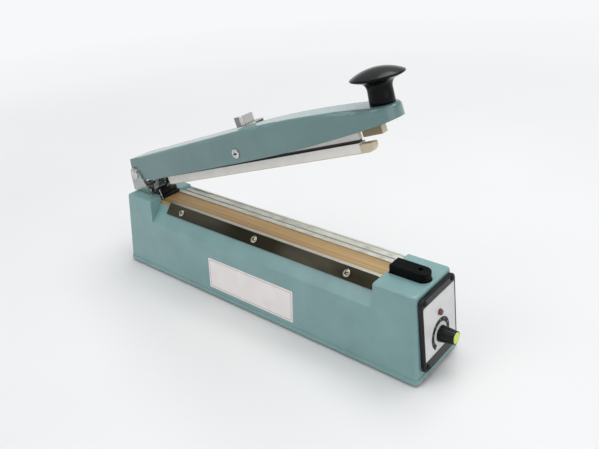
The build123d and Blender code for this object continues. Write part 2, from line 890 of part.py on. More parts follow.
# Hinge bracket: base, two ears and a peg in each spring
bracket_top_z = top_z + bracket_sheet
spring_places = [(pin_x + spring_offset, -spring_y), (pin_x + spring_offset, spring_y)]
with BuildPart() as hinge_bracket:
    with BuildSketch(Plane.XZ.offset(-bracket_half_width)):
        with BuildLine():
            Line((pin_x - bracket_left, top_z), (pin_x + bracket_right, top_z))
            CenterArc((pin_x, pin_z), ear_radius, 0, 360)
        make_hull()
    extrude(amount=2 * bracket_half_width)
    with BuildSketch(Plane.XZ.offset(-bracket_half_width + bracket_sheet)):
        with Locations((pin_x, bracket_top_z + pin_rise)):
            Rectangle(body_length, 2 * pin_rise)
    extrude(amount=2 * (bracket_half_width - bracket_sheet), mode=Mode.SUBTRACT)
    with BuildSketch(Plane.XZ.offset(-bracket_half_width)):
        with Locations((pin_x, pin_z)):
            Circle(pin_radius + run_fit)
    extrude(amount=2 * bracket_half_width, mode=Mode.SUBTRACT)
    with BuildSketch(level(top_z)):
        with Locations(*bracket_screw_places):
            Circle(bracket_screw_radius + screw_fit)
    extrude(amount=bracket_sheet, mode=Mode.SUBTRACT)
    with BuildSketch(Plane.XY.offset(bracket_top_z)):
        with Locations(*spring_places):
            Circle(spring_radius - spring_wire / 2 - gap)
    extrude(amount=peg_height)

with BuildPart() as bracket_screws:
    for x, y in bracket_screw_places:
        pan_screw(
            at(level(bracket_top_z), x, y),
            bracket_screw_radius,
            bracket_screw_length,
            bracket_screw_head_radius,
            bracket_screw_head,
        )

with BuildPart() as hinge_pin:
    far_end = -2 * bracket_half_width - pin_tail
    groove_low = far_end + clip_inset
    turned(
        Plane((pin_x, -bracket_half_width, pin_z), x_dir=(1, 0, 0), z_dir=(0, -1, 0)),
        [
            (0, far_end),
            (pin_radius, far_end),
            (pin_radius, groove_low),
            (pin_radius - clip_groove, groove_low),
            (pin_radius - clip_groove, groove_low + clip_thickness),
            (pin_radius, groove_low + clip_thickness),
            (pin_radius, 0),
            (pin_head_radius, 0),
            (pin_head_radius, pin_head / 2),
            (pin_radius, pin_head),
            (0, pin_head),
        ],
    )

with BuildPart() as pin_clip:
    clip_y = bracket_half_width + pin_tail - clip_inset
    with BuildSketch(Plane((pin_x, clip_y, pin_z), x_dir=(1, 0, 0), z_dir=(0, -1, 0))):
        Circle(clip_radius)
        Circle(pin_radius - clip_groove, mode=Mode.SUBTRACT)
        with Locations((0, -clip_radius)):
            Rectangle(2 * (pin_radius - clip_groove), 2 * clip_radius, mode=Mode.SUBTRACT)
    extrude(amount=clip_thickness)

# Return springs: each is one wire that climbs in quarter turns, with flat end turns
pad_slope = (arm_bottom - pad_high_v) / (pad_low_u - pad_high_u)
spring_edge_x = spring_offset - spring_radius - spring_wire / 2
pad_edge_u = (spring_edge_x + pad_high_v * arm_sin - pad_slope * pad_high_u * arm_sin) / (
    arm_cos - pad_slope * arm_sin
)
pad_edge_v = pad_high_v + pad_slope * (pad_edge_u - pad_high_u)
spring_top_z = pin_z + pad_edge_u * arm_sin + pad_edge_v * arm_cos - gap
spring_low = bracket_top_z + spring_wire / 2
spring_height = spring_top_z - spring_wire / 2 - spring_low
quarters = 4 * (spring_turns + 1)
end_rise = spring_wire * spring_end_pitch_share * spring_end_quarters / 4


def spring_rise(quarter):
    """Height of a spring's wire after a number of quarter turns."""
    if quarter <= spring_end_quarters:
        return end_rise * quarter / spring_end_quarters
    if quarter >= quarters - spring_end_quarters:
        return spring_height - end_rise * (quarters - quarter) / spring_end_quarters
    share = (quarter - spring_end_quarters) / (quarters - 2 * spring_end_quarters)
    return end_rise + share * (spring_height - 2 * end_rise)


def spring_node(place, quarter):
    """Place and direction of a spring's wire after a number of quarter turns."""
    angle = quarter * pi / 2
    before = spring_rise(max(quarter - 1, 0))
    after = spring_rise(min(quarter + 1, quarters))
    climb = (after - before) / pi
    if quarter in (0, quarters):
        climb = 0
    point = Vector(
        place[0] + spring_radius * cos(angle),
        place[1] + spring_radius * sin(angle),
        spring_low + spring_rise(quarter),
    )
    heading = Vector(-spring_radius * sin(angle), spring_radius * cos(angle), climb).normalized()
    return point, heading


def biarc(start, start_heading, end, end_heading):
    """Joint of two arcs that leave one place and reach another in given directions."""
    step = end - start
    both = start_heading + end_heading
    spread = 2 * (1 - start_heading.dot(end_heading))
    reach = (-step.dot(both) + sqrt(step.dot(both) ** 2 + spread * step.dot(step))) / spread
    joint = (start + start_heading * reach + end - end_heading * reach) / 2
    return joint, (end - end_heading * reach - start - start_heading * reach).normalized()


def spring_solid(place):
    """One coil spring, swept along arcs, in the open part."""
    with BuildLine() as wire:
        for quarter in range(quarters):
            start, start_heading = spring_node(place, quarter)
            end, end_heading = spring_node(place, quarter + 1)
            joint, joint_heading = biarc(start, start_heading, end, end_heading)
            TangentArc(start, joint, tangent=start_heading)
            TangentArc(joint, end, tangent=joint_heading)
    start, heading = spring_node(place, 0)
    with BuildSketch(Plane(start, x_dir=(0, 0, 1), z_dir=heading)) as section:
        Circle(spring_wire / 2)
    sweep(section.sketch, path=wire.wires()[0])


with BuildPart() as spring_near:
    spring_solid(spring_places[0])

with BuildPart() as spring_far:
    spring_solid(spring_places[1])

least = min(
    (spring_node(spring_places[0], a / 4)[0] - spring_node(spring_places[0], b / 4)[0]).length - spring_wire
    for a in range(4 * quarters + 1)
    for b in range(a + 8, 4 * quarters + 1)
)
print("least gap of a spring to itself", round(least, 2))

# Control panel: frame, plate, lamp, potentiometer with its nut, and the timer board behind it
with BuildPart() as panel_frame:
    with BuildSketch(panel_plane()):
        with Locations((0, (frame_low + frame_high) / 2)):
            RectangleRounded(frame_width, frame_high - frame_low, frame_corner)
    extrude(amount=frame_depth)
    front = panel_frame.faces().sort_by(Axis.X)[-1]
    fillet(front.edges(), frame_edge_radius)
    with BuildSketch(panel_plane(plate_back)):
        with Locations((0, (plate_low + plate_high) / 2)):
            RectangleRounded(plate_width, plate_high - plate_low, plate_corner)
    extrude(amount=frame_depth, mode=Mode.SUBTRACT)
    with BuildSketch(panel_plane()):
        with Locations(*panel_screw_places):
            Circle(panel_screw_radius + screw_fit)
        with Locations((0, timer_rise)):
            Circle(bushing_radius + screw_fit)
        with Locations((0, lamp_rise)):
            Circle(lamp_radius + screw_fit)
    extrude(amount=frame_depth, mode=Mode.SUBTRACT)

with BuildPart() as dial_plate:
    with BuildSketch(panel_plane(plate_back)):
        with Locations((0, (plate_low + plate_high) / 2)):
            plate_height = plate_high - plate_low - 2 * screw_fit
            RectangleRounded(plate_width - 2 * screw_fit, plate_height, plate_corner)
        with Locations((0, timer_rise)):
            Circle(bushing_radius + screw_fit, mode=Mode.SUBTRACT)
        with Locations((0, lamp_rise)):
            Circle(lamp_radius + screw_fit, mode=Mode.SUBTRACT)
    extrude(amount=plate_thickness)

with BuildPart() as panel_screws:
    for x, y in panel_screw_places:
        pan_screw(
            at(panel_plane(frame_depth), x, y),
            panel_screw_radius,
            panel_screw_length,
            panel_screw_head_radius,
            panel_screw_head,
        )

with BuildPart() as indicator_lamp:
    turned(
        at(panel_plane(), 0, lamp_rise),
        [
            (0, -lamp_depth),
            (lamp_flange, -lamp_depth),
            (lamp_flange, 0),
            (lamp_radius, 0),
            (lamp_radius, plate_face + lamp_dome / 2),
            (lamp_radius / 2, plate_face + lamp_dome),
            (0, plate_face + lamp_dome),
        ],
    )

with BuildPart() as timer_pot:
    shaft_bore = shaft_radius + run_fit
    turned(
        at(panel_plane(), 0, timer_rise),
        [
            (0, -pot_depth),
            (pot_radius, -pot_depth),
            (pot_radius, 0),
            (bushing_radius, 0),
            (bushing_radius, plate_face + bushing_length),
            (shaft_bore, plate_face + bushing_length),
            (shaft_bore, -shaft_depth),
            (0, -shaft_depth),
        ],
    )

with BuildPart() as pot_nut:
    with BuildSketch(at(panel_plane(plate_face), 0, timer_rise)):
        RegularPolygon(nut_flats / 2, 6, major_radius=False)
        Circle(bushing_radius + screw_fit, mode=Mode.SUBTRACT)
    extrude(amount=nut_height)

with BuildPart() as timer_board:
    board_face = -pot_depth - board_thickness
    with BuildSketch(panel_plane(board_face)):
        with Locations((0, (board_low + board_high) / 2)):
            Rectangle(board_width, board_high - board_low)
    extrude(amount=board_thickness)
    with BuildSketch(panel_plane(board_face)):
        with Locations(relay_place):
            Rectangle(relay_size[0], relay_size[1])
    extrude(amount=-relay_size[2])
    with BuildSketch(panel_plane(board_face)):
        with Locations(capacitor_place):
            Circle(capacitor_radius)
    extrude(amount=-capacitor_height)

# Timer knob, its coloured cap and the potentiometer's shaft
knob_plane = at(panel_plane(knob_base), 0, timer_rise)
with BuildPart() as timer_knob:
    for height, radius in ((0, knob_radius), (knob_length, knob_tip_radius)):
        with BuildSketch(knob_plane.offset(height)):
            Circle(radius)
            with PolarLocations(radius, knob_flutes):
                Circle(flute_radius * radius / knob_radius, mode=Mode.SUBTRACT)
    loft(ruled=True)
    with BuildSketch(knob_plane):
        Circle(nut_recess_radius)
    extrude(amount=nut_recess, mode=Mode.SUBTRACT)
    with BuildSketch(knob_plane):
        Circle(shaft_radius + run_fit)
    extrude(amount=nut_recess + shaft_grip, mode=Mode.SUBTRACT)
    with BuildSketch(knob_plane.offset(knob_length)):
        Circle(cap_radius)
    extrude(amount=cap_proud - cap_thickness, mode=Mode.SUBTRACT)

with BuildPart() as knob_cap:
    turned(
        knob_plane.offset(knob_length),
        [
            (0, cap_proud - cap_thickness),
            (cap_radius - run_fit, cap_proud - cap_thickness),
            (cap_radius - run_fit, 0),
            (cap_radius - cap_proud, cap_proud),
            (0, cap_proud),
        ],
    )

with BuildPart() as pot_shaft:
    with BuildSketch(at(panel_plane(gap - shaft_depth), 0, timer_rise)):
        Circle(shaft_radius)
    extrude(amount=shaft_depth - gap + knob_base + nut_recess + shaft_grip)

# Transformer: laminated core with two windows, coil on its middle leg, strap with two feet
strap_screw_x = core_length / 2 + strap_sheet + strap_foot / 2
coil_half_x = core_leg / 2 + core_window - coil_fit
coil_half_y = core_stack / 2 + coil_side
window_height = core_height - 2 * core_yoke
window_x = (core_leg + core_window) / 2
with BuildPart() as transformer_core:
    with BuildSketch(Plane.XZ):
        with Locations((body_x + core_x, cover_top_z + core_height / 2)):
            Rectangle(core_length, core_height)
            with Locations((-window_x, 0), (window_x, 0)):
                Rectangle(core_window, window_height, mode=Mode.SUBTRACT)
    extrude(amount=core_stack / 2, both=True)

with BuildPart() as transformer_coil:
    with BuildSketch(at(level(cover_top_z + core_yoke + coil_fit), core_x, 0)):
        RectangleRounded(2 * coil_half_x, 2 * coil_half_y, coil_corner)
        Rectangle(core_leg + 2 * coil_fit, core_stack + 2 * coil_fit, mode=Mode.SUBTRACT)
    extrude(amount=window_height - 2 * coil_fit)

with BuildPart() as transformer_strap:
    strap_half = core_length / 2 + strap_sheet
    with BuildSketch(Plane((body_x + core_x, 0, cover_top_z), x_dir=(1, 0, 0), z_dir=(0, -1, 0))):
        outline([
            (-strap_half - strap_foot, 0),
            (-strap_half + strap_sheet, 0),
            (-strap_half + strap_sheet, core_height),
            (strap_half - strap_sheet, core_height),
            (strap_half - strap_sheet, 0),
            (strap_half + strap_foot, 0),
            (strap_half + strap_foot, strap_sheet),
            (strap_half, strap_sheet),
            (strap_half, core_height + strap_sheet),
            (-strap_half, core_height + strap_sheet),
            (-strap_half, strap_sheet),
            (-strap_half - strap_foot, strap_sheet),
        ])
    extrude(amount=strap_width / 2, both=True)
    with BuildSketch(at(level(cover_top_z), core_x, 0)):
        with Locations((-strap_screw_x, 0), (strap_screw_x, 0)):
            Circle(inner_screw_radius + screw_fit)
    extrude(amount=strap_sheet, mode=Mode.SUBTRACT)

with BuildPart() as inner_screws:
    for side in (-1, 1):
        strap_seat = at(level(cover_top_z + strap_sheet), core_x + side * strap_screw_x, 0)
        pan_screw(strap_seat, inner_screw_radius, strap_sheet, inner_screw_head_radius, inner_screw_head)
    for x, y in flange_screw_places:
        seat = Plane((body_x + x, y, block_ceiling_z - cheek_sheet), x_dir=(1, 0, 0), z_dir=(0, 0, -1))
        pan_screw(seat, inner_screw_radius, inner_screw_length, inner_screw_head_radius, inner_screw_head)

# Switch lever with the bracket that carries its pin, and the micro switch under it
lever_pivot_z = top_z - lever_pivot_drop
lever_low_z = top_z - lever_skirt
with BuildPart() as switch_lever:
    with BuildSketch(level(lever_low_z)):
        lever_outline(0)
    extrude(amount=lever_skirt + lever_rise)
    fillet(switch_lever.faces().sort_by(Axis.Z)[-1].edges(), lever_edge_radius)
    with BuildSketch(at(level(top_z + lever_rise), lever_right - lever_hole_inset, 0)):
        Circle(lever_hole_radius)
    extrude(amount=-lever_hole_depth, mode=Mode.SUBTRACT)
    with BuildSketch(Plane.XZ):
        with Locations((body_x + lever_pivot_x, lever_pivot_z)):
            Circle(lever_pin_radius + run_fit)
    extrude(amount=lever_half_width + overrun, both=True, mode=Mode.SUBTRACT)

cheek_low_z = block_ceiling_z - cheek_depth
cheek_middle = cheek_left + cheek_length / 2
with BuildPart() as switch_bracket:
    for side in (-1, 1):
        with BuildSketch(at(level(block_ceiling_z), cheek_middle, side * flange_y)):
            Rectangle(cheek_length, flange_width)
            with Locations(*[(x - cheek_middle, 0) for x, y in flange_screw_places[::2]]):
                Circle(inner_screw_radius + screw_fit, mode=Mode.SUBTRACT)
        extrude(amount=-cheek_sheet)
        with BuildSketch(at(level(block_ceiling_z), cheek_middle, side * (cheek_y + cheek_sheet / 2))):
            Rectangle(cheek_length, cheek_sheet)
        extrude(amount=-cheek_depth)
    with BuildSketch(at(level(cheek_low_z), cheek_middle, 0)):
        Rectangle(cheek_length, 2 * (cheek_y + cheek_sheet))
    extrude(amount=cheek_sheet)
    with BuildSketch(Plane.XZ):
        with Locations((body_x + lever_pivot_x, lever_pivot_z)):
            Circle(lever_pin_radius + run_fit)
    extrude(amount=body_width / 2, both=True, mode=Mode.SUBTRACT)

with BuildPart() as lever_pin:
    with BuildSketch(Plane.XZ):
        with Locations((body_x + lever_pivot_x, lever_pivot_z)):
            Circle(lever_pin_radius)
    extrude(amount=cheek_y + cheek_sheet + lever_pin_overhang, both=True)

plunger_top_z = lever_low_z - gap
switch_top_z = plunger_top_z - plunger_rise
switch_place = (lever_left + switch_offset + switch_length / 2, 0)
plunger_x = lever_left + plunger_offset
with BuildPart() as micro_switch:
    with BuildSketch(at(level(cheek_low_z + cheek_sheet), *switch_place)):
        Rectangle(switch_length, switch_width)
    extrude(amount=switch_top_z - cheek_low_z - cheek_sheet)
    with BuildSketch(at(level(switch_top_z), plunger_x, 0)):
        Rectangle(plunger_length + 2 * gap, plunger_width + 2 * gap)
    extrude(amount=-plunger_rise - plunger_depth, mode=Mode.SUBTRACT)

with BuildPart() as switch_plunger:
    with BuildSketch(at(level(plunger_top_z), plunger_x, 0)):
        Rectangle(plunger_length, plunger_width)
    extrude(amount=-plunger_rise - plunger_depth)

# Left end: cord gland and fuse holder
with BuildPart() as cord_gland:
    turned(
        at(left_plane(), 0, gland_rise),
        [
            (gland_bore, -wall - gland_flange),
            (gland_radius, -wall - gland_flange),
            (gland_radius, -wall),
            (gland_neck, -wall),
            (gland_neck, 0),
            (gland_radius, 0),
            (gland_radius - gland_flange / 2, gland_flange),
            (gland_bore, gland_flange),
        ],
    )

with BuildPart() as fuse_holder:
    turned(
        at(left_plane(), 0, fuse_rise),
        [
            (0, -fuse_body),
            (fuse_body_radius, -fuse_body),
            (fuse_body_radius, 0),
            (fuse_flange_radius, 0),
            (fuse_flange_radius, fuse_flange),
            (fuse_cap_radius, fuse_flange),
            (fuse_cap_radius, fuse_flange + fuse_cap),
            (0, fuse_flange + fuse_cap),
        ],
    )

# Arm casting: side outline cut to the plan with its round nose, then hollowed from below
bumper_bottom = top_z + lever_rise + gap - pin_z
handle_top = arm_top(handle_u)
handle_lean = ((handle_u - arc_centre[0]) / arc_radius, (handle_top - arc_centre[1]) / arc_radius)
handle_normal = arm_along * handle_lean[0] + arm_up * handle_lean[1]
handle_across = arm_along * handle_lean[1] - arm_up * handle_lean[0]


def handle_plane(height):
    """Plane square to the handle knob's axis, over the arm's top."""
    origin = arm_point(handle_u, handle_top) + handle_normal * height
    return Plane(origin, x_dir=handle_across, z_dir=handle_normal)


def plan_outline(start, half):
    """Plan of the arm from a start to its round nose, in the open sketch."""
    with Locations(((start + arm_nose_u) / 2, 0)):
        Rectangle(arm_nose_u - start, 2 * half)
    with Locations((arm_nose_u, 0)):
        Circle(half)


def on_rim(edge):
    """Whether an edge runs along the outer rim of the arm's top."""
    middle = edge @ 0.5 - arm_point(0, 0)
    u = middle.dot(arm_along)
    on_top = abs(middle.dot(arm_up) - arm_top(u)) < run_fit
    return on_top and (abs(middle.Y) > arm_half_width / 2 or u > arm_nose_u)


arm_height = arm_root_top - arm_bottom
guide_screw_places = [guide_start_u + (guide_end_u - guide_start_u) * share for share in guide_screw_shares]
with BuildPart() as channel:
    with BuildSketch(arm_side()):
        with BuildLine():
            crown_lines(arm_roof)
            Polyline(
                (arm_end_u, arm_nose_top - arm_roof),
                (arm_end_u, arm_bottom - arm_height),
                (arm_root_u, arm_bottom - arm_height),
                (arm_root_u, arm_root_top - arm_roof),
            )
        make_face()
    extrude(amount=arm_half_width, both=True)
    with BuildSketch(arm_level(0)):
        plan_outline(arm_channel_u, arm_channel_half)
    extrude(amount=2 * arm_height, both=True, mode=Mode.INTERSECT)

with BuildPart() as arm_casting:
    with BuildSketch(arm_side()):
        with BuildLine():
            crown_lines(0)
            Line((arm_end_u, arm_nose_top), (arm_end_u, arm_nose_bottom))
            TangentArc((arm_bend_u, arm_bottom), (arm_end_u, arm_nose_bottom), tangent=(1, 0))
            Polyline(
                (arm_bend_u, arm_bottom),
                (pad_low_u, arm_bottom),
                (pad_high_u, pad_high_v),
                (-arm_boss_radius, 0),
                (arm_root_u, arm_root_top),
            )
        make_face()
        Circle(arm_boss_radius)
    extrude(amount=arm_half_width, both=True)
    with BuildSketch(arm_level(0)):
        plan_outline(-2 * arm_boss_radius, arm_half_width)
    extrude(amount=2 * arm_height, both=True, mode=Mode.INTERSECT)
    fillet(arm_casting.edges().filter_by(on_rim), arm_edge_radius)
    for side in (-1, 1):
        with BuildSketch(arm_side(side * arm_root_half_width)):
            Circle(arm_scallop_radius)
        extrude(amount=-side * arm_half_width, taper=-arm_scallop_slope, mode=Mode.SUBTRACT)
    add(channel.part, mode=Mode.SUBTRACT)
    for side in (-1, 1):
        with BuildSketch(arm_side(side * (bar_web / 2 + gap))):
            with Locations((bar_pivot_u, bar_pivot_v)):
                Circle(lug_radius)
        extrude(amount=-side * (arm_channel_half + arm_wall / 2 - bar_web / 2 - gap))
    with BuildSketch(arm_level(bumper_top, bumper_u)):
        Circle(bumper_boss_radius)
    extrude(amount=arm_top(bumper_u) - arm_roof / 2 - bumper_top)
    with BuildSketch(arm_side()):
        Circle(pin_radius + run_fit)
        with Locations((bar_pivot_u, bar_pivot_v)):
            Circle(pivot_screw_radius + screw_fit)
    extrude(amount=arm_half_width, both=True, mode=Mode.SUBTRACT)
    with BuildSketch(handle_plane(0)):
        Circle(handle_screw_radius + screw_fit)
    extrude(amount=2 * arm_roof, both=True, mode=Mode.SUBTRACT)
    with BuildSketch(arm_level(bumper_top, bumper_u)):
        Circle(bumper_screw_radius + screw_fit)
    bumper_hole = bumper_screw_length - (bumper_top - bumper_bottom) + bumper_counterbore
    extrude(amount=bumper_hole, mode=Mode.SUBTRACT)
    for u in guide_screw_places:
        with BuildSketch(arm_side(arm_half_width)):
            with Locations((u, guide_v)):
                Circle(guide_screw_radius + screw_fit)
        extrude(amount=guide_screw_length, mode=Mode.SUBTRACT)

# Handle knob: a mushroom with a stem that flares under its cap
with BuildPart() as handle_knob:
    base = handle_plane(handle_seat)
    neck = (handle_neck_radius, handle_neck_height)
    flare = (handle_flare_radius, handle_flare_height)
    rim_low = (handle_radius - handle_rim_inset, handle_rim_low)
    rim_middle = (handle_radius, (handle_rim_low + handle_rim_high) / 2)
    rim_high = (handle_radius - handle_rim_inset, handle_rim_high)
    with BuildSketch(Plane(base.origin, x_dir=base.x_dir, z_dir=-base.y_dir)):
        with BuildLine():
            Polyline((0, 0), (handle_stem_radius, 0), neck)
            TangentArc(neck, flare, tangent=(0, 1))
            Line(flare, rim_low)
            ThreePointArc(rim_low, rim_middle, rim_high)
            TangentArc((0, handle_height), rim_high, tangent=(1, 0))
            Line((0, handle_height), (0, 0))
        make_face()
    revolve(axis=Axis(base.origin, base.z_dir))
    with BuildSketch(base):
        Circle(handle_screw_radius + screw_fit)
    extrude(amount=handle_screw_length - arm_roof, mode=Mode.SUBTRACT)

with BuildPart() as handle_screw:
    under = handle_plane(-arm_roof)
    seat = Plane(under.origin, x_dir=under.x_dir, z_dir=-under.z_dir)
    pan_screw(seat, handle_screw_radius, handle_screw_length, handle_screw_head_radius, handle_screw_head)

# Bumper under the arm's tip, on a boss inside the channel
with BuildPart() as bumper:
    with BuildSketch(arm_level(bumper_bottom, bumper_u)):
        Rectangle(bumper_length, bumper_width)
        Circle(bumper_screw_radius + screw_fit, mode=Mode.SUBTRACT)
    extrude(amount=bumper_top - bumper_bottom)
    with BuildSketch(arm_level(bumper_bottom, bumper_u)):
        Circle(bumper_screw_head_radius + screw_fit)
    extrude(amount=bumper_counterbore, mode=Mode.SUBTRACT)

with BuildPart() as bumper_screw:
    hole = arm_level(bumper_bottom + bumper_counterbore, bumper_u)
    seat = Plane(hole.origin, x_dir=hole.x_dir, z_dir=-hole.z_dir)
    pan_screw(seat, bumper_screw_radius, bumper_screw_length, bumper_screw_head_radius, bumper_screw_head)

with BuildPart() as pivot_screw:
    turned(
        Plane(arm_point(bar_pivot_u, bar_pivot_v, -arm_half_width), x_dir=arm_along, z_dir=(0, -1, 0)),
        [
            (0, pivot_screw_end - 2 * arm_half_width),
            (pivot_screw_radius, pivot_screw_end - 2 * arm_half_width),
            (pivot_screw_radius, 0),
            (pivot_screw_head_radius, 0),
            (pivot_screw_head_radius, pivot_screw_head / 2),
            (pivot_screw_radius, pivot_screw_head),
            (0, pivot_screw_head),
        ],
    )

# Pressure bar: it hangs on the centre screw, a little nose down while the arm is open
bar_angle = radians(open_angle - bar_rock_angle)
bar_along = Vector(cos(bar_angle), 0, sin(bar_angle))
bar_up = Vector(-sin(bar_angle), 0, cos(bar_angle))
bar_pivot = arm_point(bar_pivot_u, bar_pivot_v)
silicone_bottom = cloth_z + gap - pin_z - bar_pivot_v
holder_bottom = silicone_bottom + silicone_proud
holder_top = holder_bottom + bar_holder_height
neck_top = holder_top + bar_neck_height


def bar_section(u):
    """Plane across the bar at a length along it, with y to the far side and the bar's up."""
    return Plane(bar_pivot + bar_along * (u - bar_pivot_u), x_dir=(0, 1, 0), z_dir=bar_along)


def block(low, high, width):
    """Rectangle between two heights about the bar's middle, in the open sketch."""
    with Locations((0, (low + high) / 2)):
        Rectangle(width, high - low)


with BuildPart() as pressure_bar:
    with BuildSketch(bar_section(bar_start_u)):
        block(neck_top, bar_web_top - bar_pivot_v, bar_web)
        block(holder_top, neck_top, bar_neck)
        block(holder_bottom, holder_top, bar_holder_width)
        with Locations((0, holder_top - bar_holder_roof - bar_holder_height / 2)):
            Rectangle(bar_holder_width - 2 * bar_holder_wall, bar_holder_height, mode=Mode.SUBTRACT)
    extrude(amount=bar_end_u - bar_start_u)
    with BuildSketch(Plane(bar_pivot, x_dir=bar_along, z_dir=(0, -1, 0))):
        Circle(pivot_screw_radius + run_fit)
    extrude(amount=bar_web, both=True, mode=Mode.SUBTRACT)

with BuildPart() as silicone_strip:
    with BuildSketch(bar_section(bar_start_u)):
        block(silicone_bottom, holder_top - bar_holder_roof, bar_holder_width - 2 * bar_holder_wall)
    extrude(amount=bar_end_u - bar_start_u + silicone_overhang)
    nose_edge = silicone_strip.edges().filter_by(Axis.Y).sort_by(Axis(bar_pivot, bar_along - bar_up))[-1]
    fillet(nose_edge, silicone_nose_radius)

# Cutter guide on the arm's far side, and the cutter's carriage, blade and finger tab
guide_face_y = arm_half_width + guide_neck_depth + guide_flange_depth
carriage_far_y = guide_face_y + carriage_outer


def arm_section(u):
    """Plane across the arm at a length along it, with y to the far side."""
    return Plane(arm_point(u, 0), x_dir=(0, 1, 0), z_dir=arm_along)


def strip_block(near, far, low, high):
    """Rectangle given by its sides, in the open sketch."""
    with Locations(((near + far) / 2, (low + high) / 2)):
        Rectangle(far - near, high - low)


with BuildPart() as cutter_guide:
    neck_y = arm_half_width + guide_neck_depth
    with BuildSketch(arm_section(guide_start_u)):
        strip_block(arm_half_width, neck_y, guide_v - guide_neck / 2, guide_v + guide_neck / 2)
        strip_block(neck_y, guide_face_y, guide_v - guide_flange / 2, guide_v + guide_flange / 2)
    extrude(amount=guide_end_u - guide_start_u)
    for u in guide_screw_places:
        with BuildSketch(arm_side(guide_face_y)):
            with Locations((u, guide_v)):
                Circle(guide_screw_radius + screw_fit)
        extrude(amount=guide_neck_depth + guide_flange_depth, mode=Mode.SUBTRACT)
        with BuildSketch(arm_side(guide_face_y)):
            with Locations((u, guide_v)):
                Circle(guide_screw_head_radius + screw_fit)
        extrude(amount=guide_screw_head + gap, mode=Mode.SUBTRACT)

with BuildPart() as guide_screws:
    for u in guide_screw_places:
        seat = Plane(
            arm_point(u, guide_v, guide_face_y - guide_screw_head - gap), x_dir=arm_along, z_dir=(0, 1, 0)
        )
        shank = guide_neck_depth + guide_flange_depth - guide_screw_head - gap + guide_screw_length
        pan_screw(seat, guide_screw_radius, shank, guide_screw_head_radius, guide_screw_head)

carriage_low = guide_v - carriage_height / 2
carriage_high = guide_v + carriage_height / 2
carriage_near_y = arm_half_width + 2 * gap
holder_far_y = groove_y - blade_thickness / 2
holder_low = carriage_low - blade_holder_drop
blade_low = seat_z + rail_band - groove_depth + 2 * gap - pin_z
with BuildPart() as cutter_carriage:
    with BuildSketch(arm_section(cutter_u - carriage_length / 2)):
        strip_block(carriage_near_y, carriage_far_y, carriage_low, carriage_high)
        strip_block(holder_far_y - blade_holder, holder_far_y, holder_low, carriage_low)
    extrude(amount=carriage_length)
    with BuildSketch(arm_section(cutter_u - carriage_length / 2)):
        strip_block(
            neck_y - gap,
            guide_face_y + gap,
            guide_v - guide_flange / 2 - gap,
            guide_v + guide_flange / 2 + gap,
        )
        strip_block(
            arm_half_width,
            neck_y,
            guide_v - guide_neck / 2 - gap,
            guide_v + guide_neck / 2 + gap,
        )
    extrude(amount=carriage_length, mode=Mode.SUBTRACT)
    cutter_screw_u = (cutter_u - cutter_screw_spread, cutter_u + cutter_screw_spread)
    blade_screw_v = carriage_low - blade_rise / 2
    tab_screw_v = carriage_high - tab_leg_drop / 2
    with BuildSketch(arm_side(carriage_far_y)):
        with Locations(*[(u, tab_screw_v) for u in cutter_screw_u]):
            Circle(cutter_screw_radius + screw_fit)
    extrude(amount=cutter_screw_length, mode=Mode.SUBTRACT)
    with BuildSketch(arm_side(holder_far_y)):
        with Locations(*[(u, blade_screw_v) for u in cutter_screw_u]):
            Circle(cutter_screw_radius + screw_fit)
    extrude(amount=blade_holder, mode=Mode.SUBTRACT)

with BuildPart() as cutter_blade:
    blade_start = cutter_u - blade_width / 2
    with BuildSketch(arm_side(holder_far_y)):
        outline([
            (blade_start, carriage_low),
            (blade_start + blade_width, carriage_low),
            (blade_start + blade_width, holder_low),
            (blade_start + blade_width * (1 - blade_tip_share / 2), blade_low),
            (blade_start + blade_width * blade_tip_share / 2, blade_low),
            (blade_start, holder_low),
        ])
        with Locations(*[(u, blade_screw_v) for u in cutter_screw_u]):
            Circle(cutter_screw_radius + screw_fit, mode=Mode.SUBTRACT)
    extrude(amount=-blade_thickness)

tab_low = max(arm_top(cutter_u), arm_bend_top) + tab_lift
tab_start_u = cutter_u - tab_leg_width / 2
tab_far_y = carriage_far_y + tab_sheet
with BuildPart() as cutter_tab:
    with BuildSketch(arm_section(tab_start_u)):
        strip_block(carriage_far_y, tab_far_y, carriage_high - tab_leg_drop, tab_low + tab_sheet)
        strip_block(0, tab_far_y, tab_low, tab_low + tab_sheet)
    extrude(amount=tab_leg_width)
    with BuildSketch(arm_level(tab_low, cutter_u)):
        with BuildLine():
            outer = FilletPolyline(
                (-tab_flange_length, 0),
                (tab_sheet, 0),
                (tab_sheet, arm_half_width),
                radius=tab_bend_radius + tab_sheet,
            )
            inner = FilletPolyline(
                (0, arm_half_width),
                (0, tab_sheet),
                (-tab_flange_length, tab_sheet),
                radius=tab_bend_radius,
            )
            Line(outer @ 1, inner @ 0)
            Line(inner @ 1, outer @ 0)
        make_face()
    extrude(amount=tab_plate_height)
    with BuildSketch(arm_side(carriage_far_y)):
        with Locations(*[(u, tab_screw_v) for u in cutter_screw_u]):
            Circle(cutter_screw_radius + screw_fit)
    extrude(amount=-tab_sheet, mode=Mode.SUBTRACT)

with BuildPart() as cutter_screws:
    for u in cutter_screw_u:
        blade_seat = Plane(
            arm_point(u, blade_screw_v, holder_far_y + blade_thickness), x_dir=arm_along, z_dir=(0, 1, 0)
        )
        pan_screw(
            blade_seat,
            cutter_screw_radius,
            blade_thickness + blade_holder,
            cutter_screw_head_radius,
            cutter_screw_head,
        )
        tab_seat = Plane(arm_point(u, tab_screw_v, tab_far_y), x_dir=arm_along, z_dir=(0, 1, 0))
        pan_screw(
            tab_seat,
            cutter_screw_radius,
            cutter_screw_length,
            cutter_screw_head_radius,
            cutter_screw_head,
        )

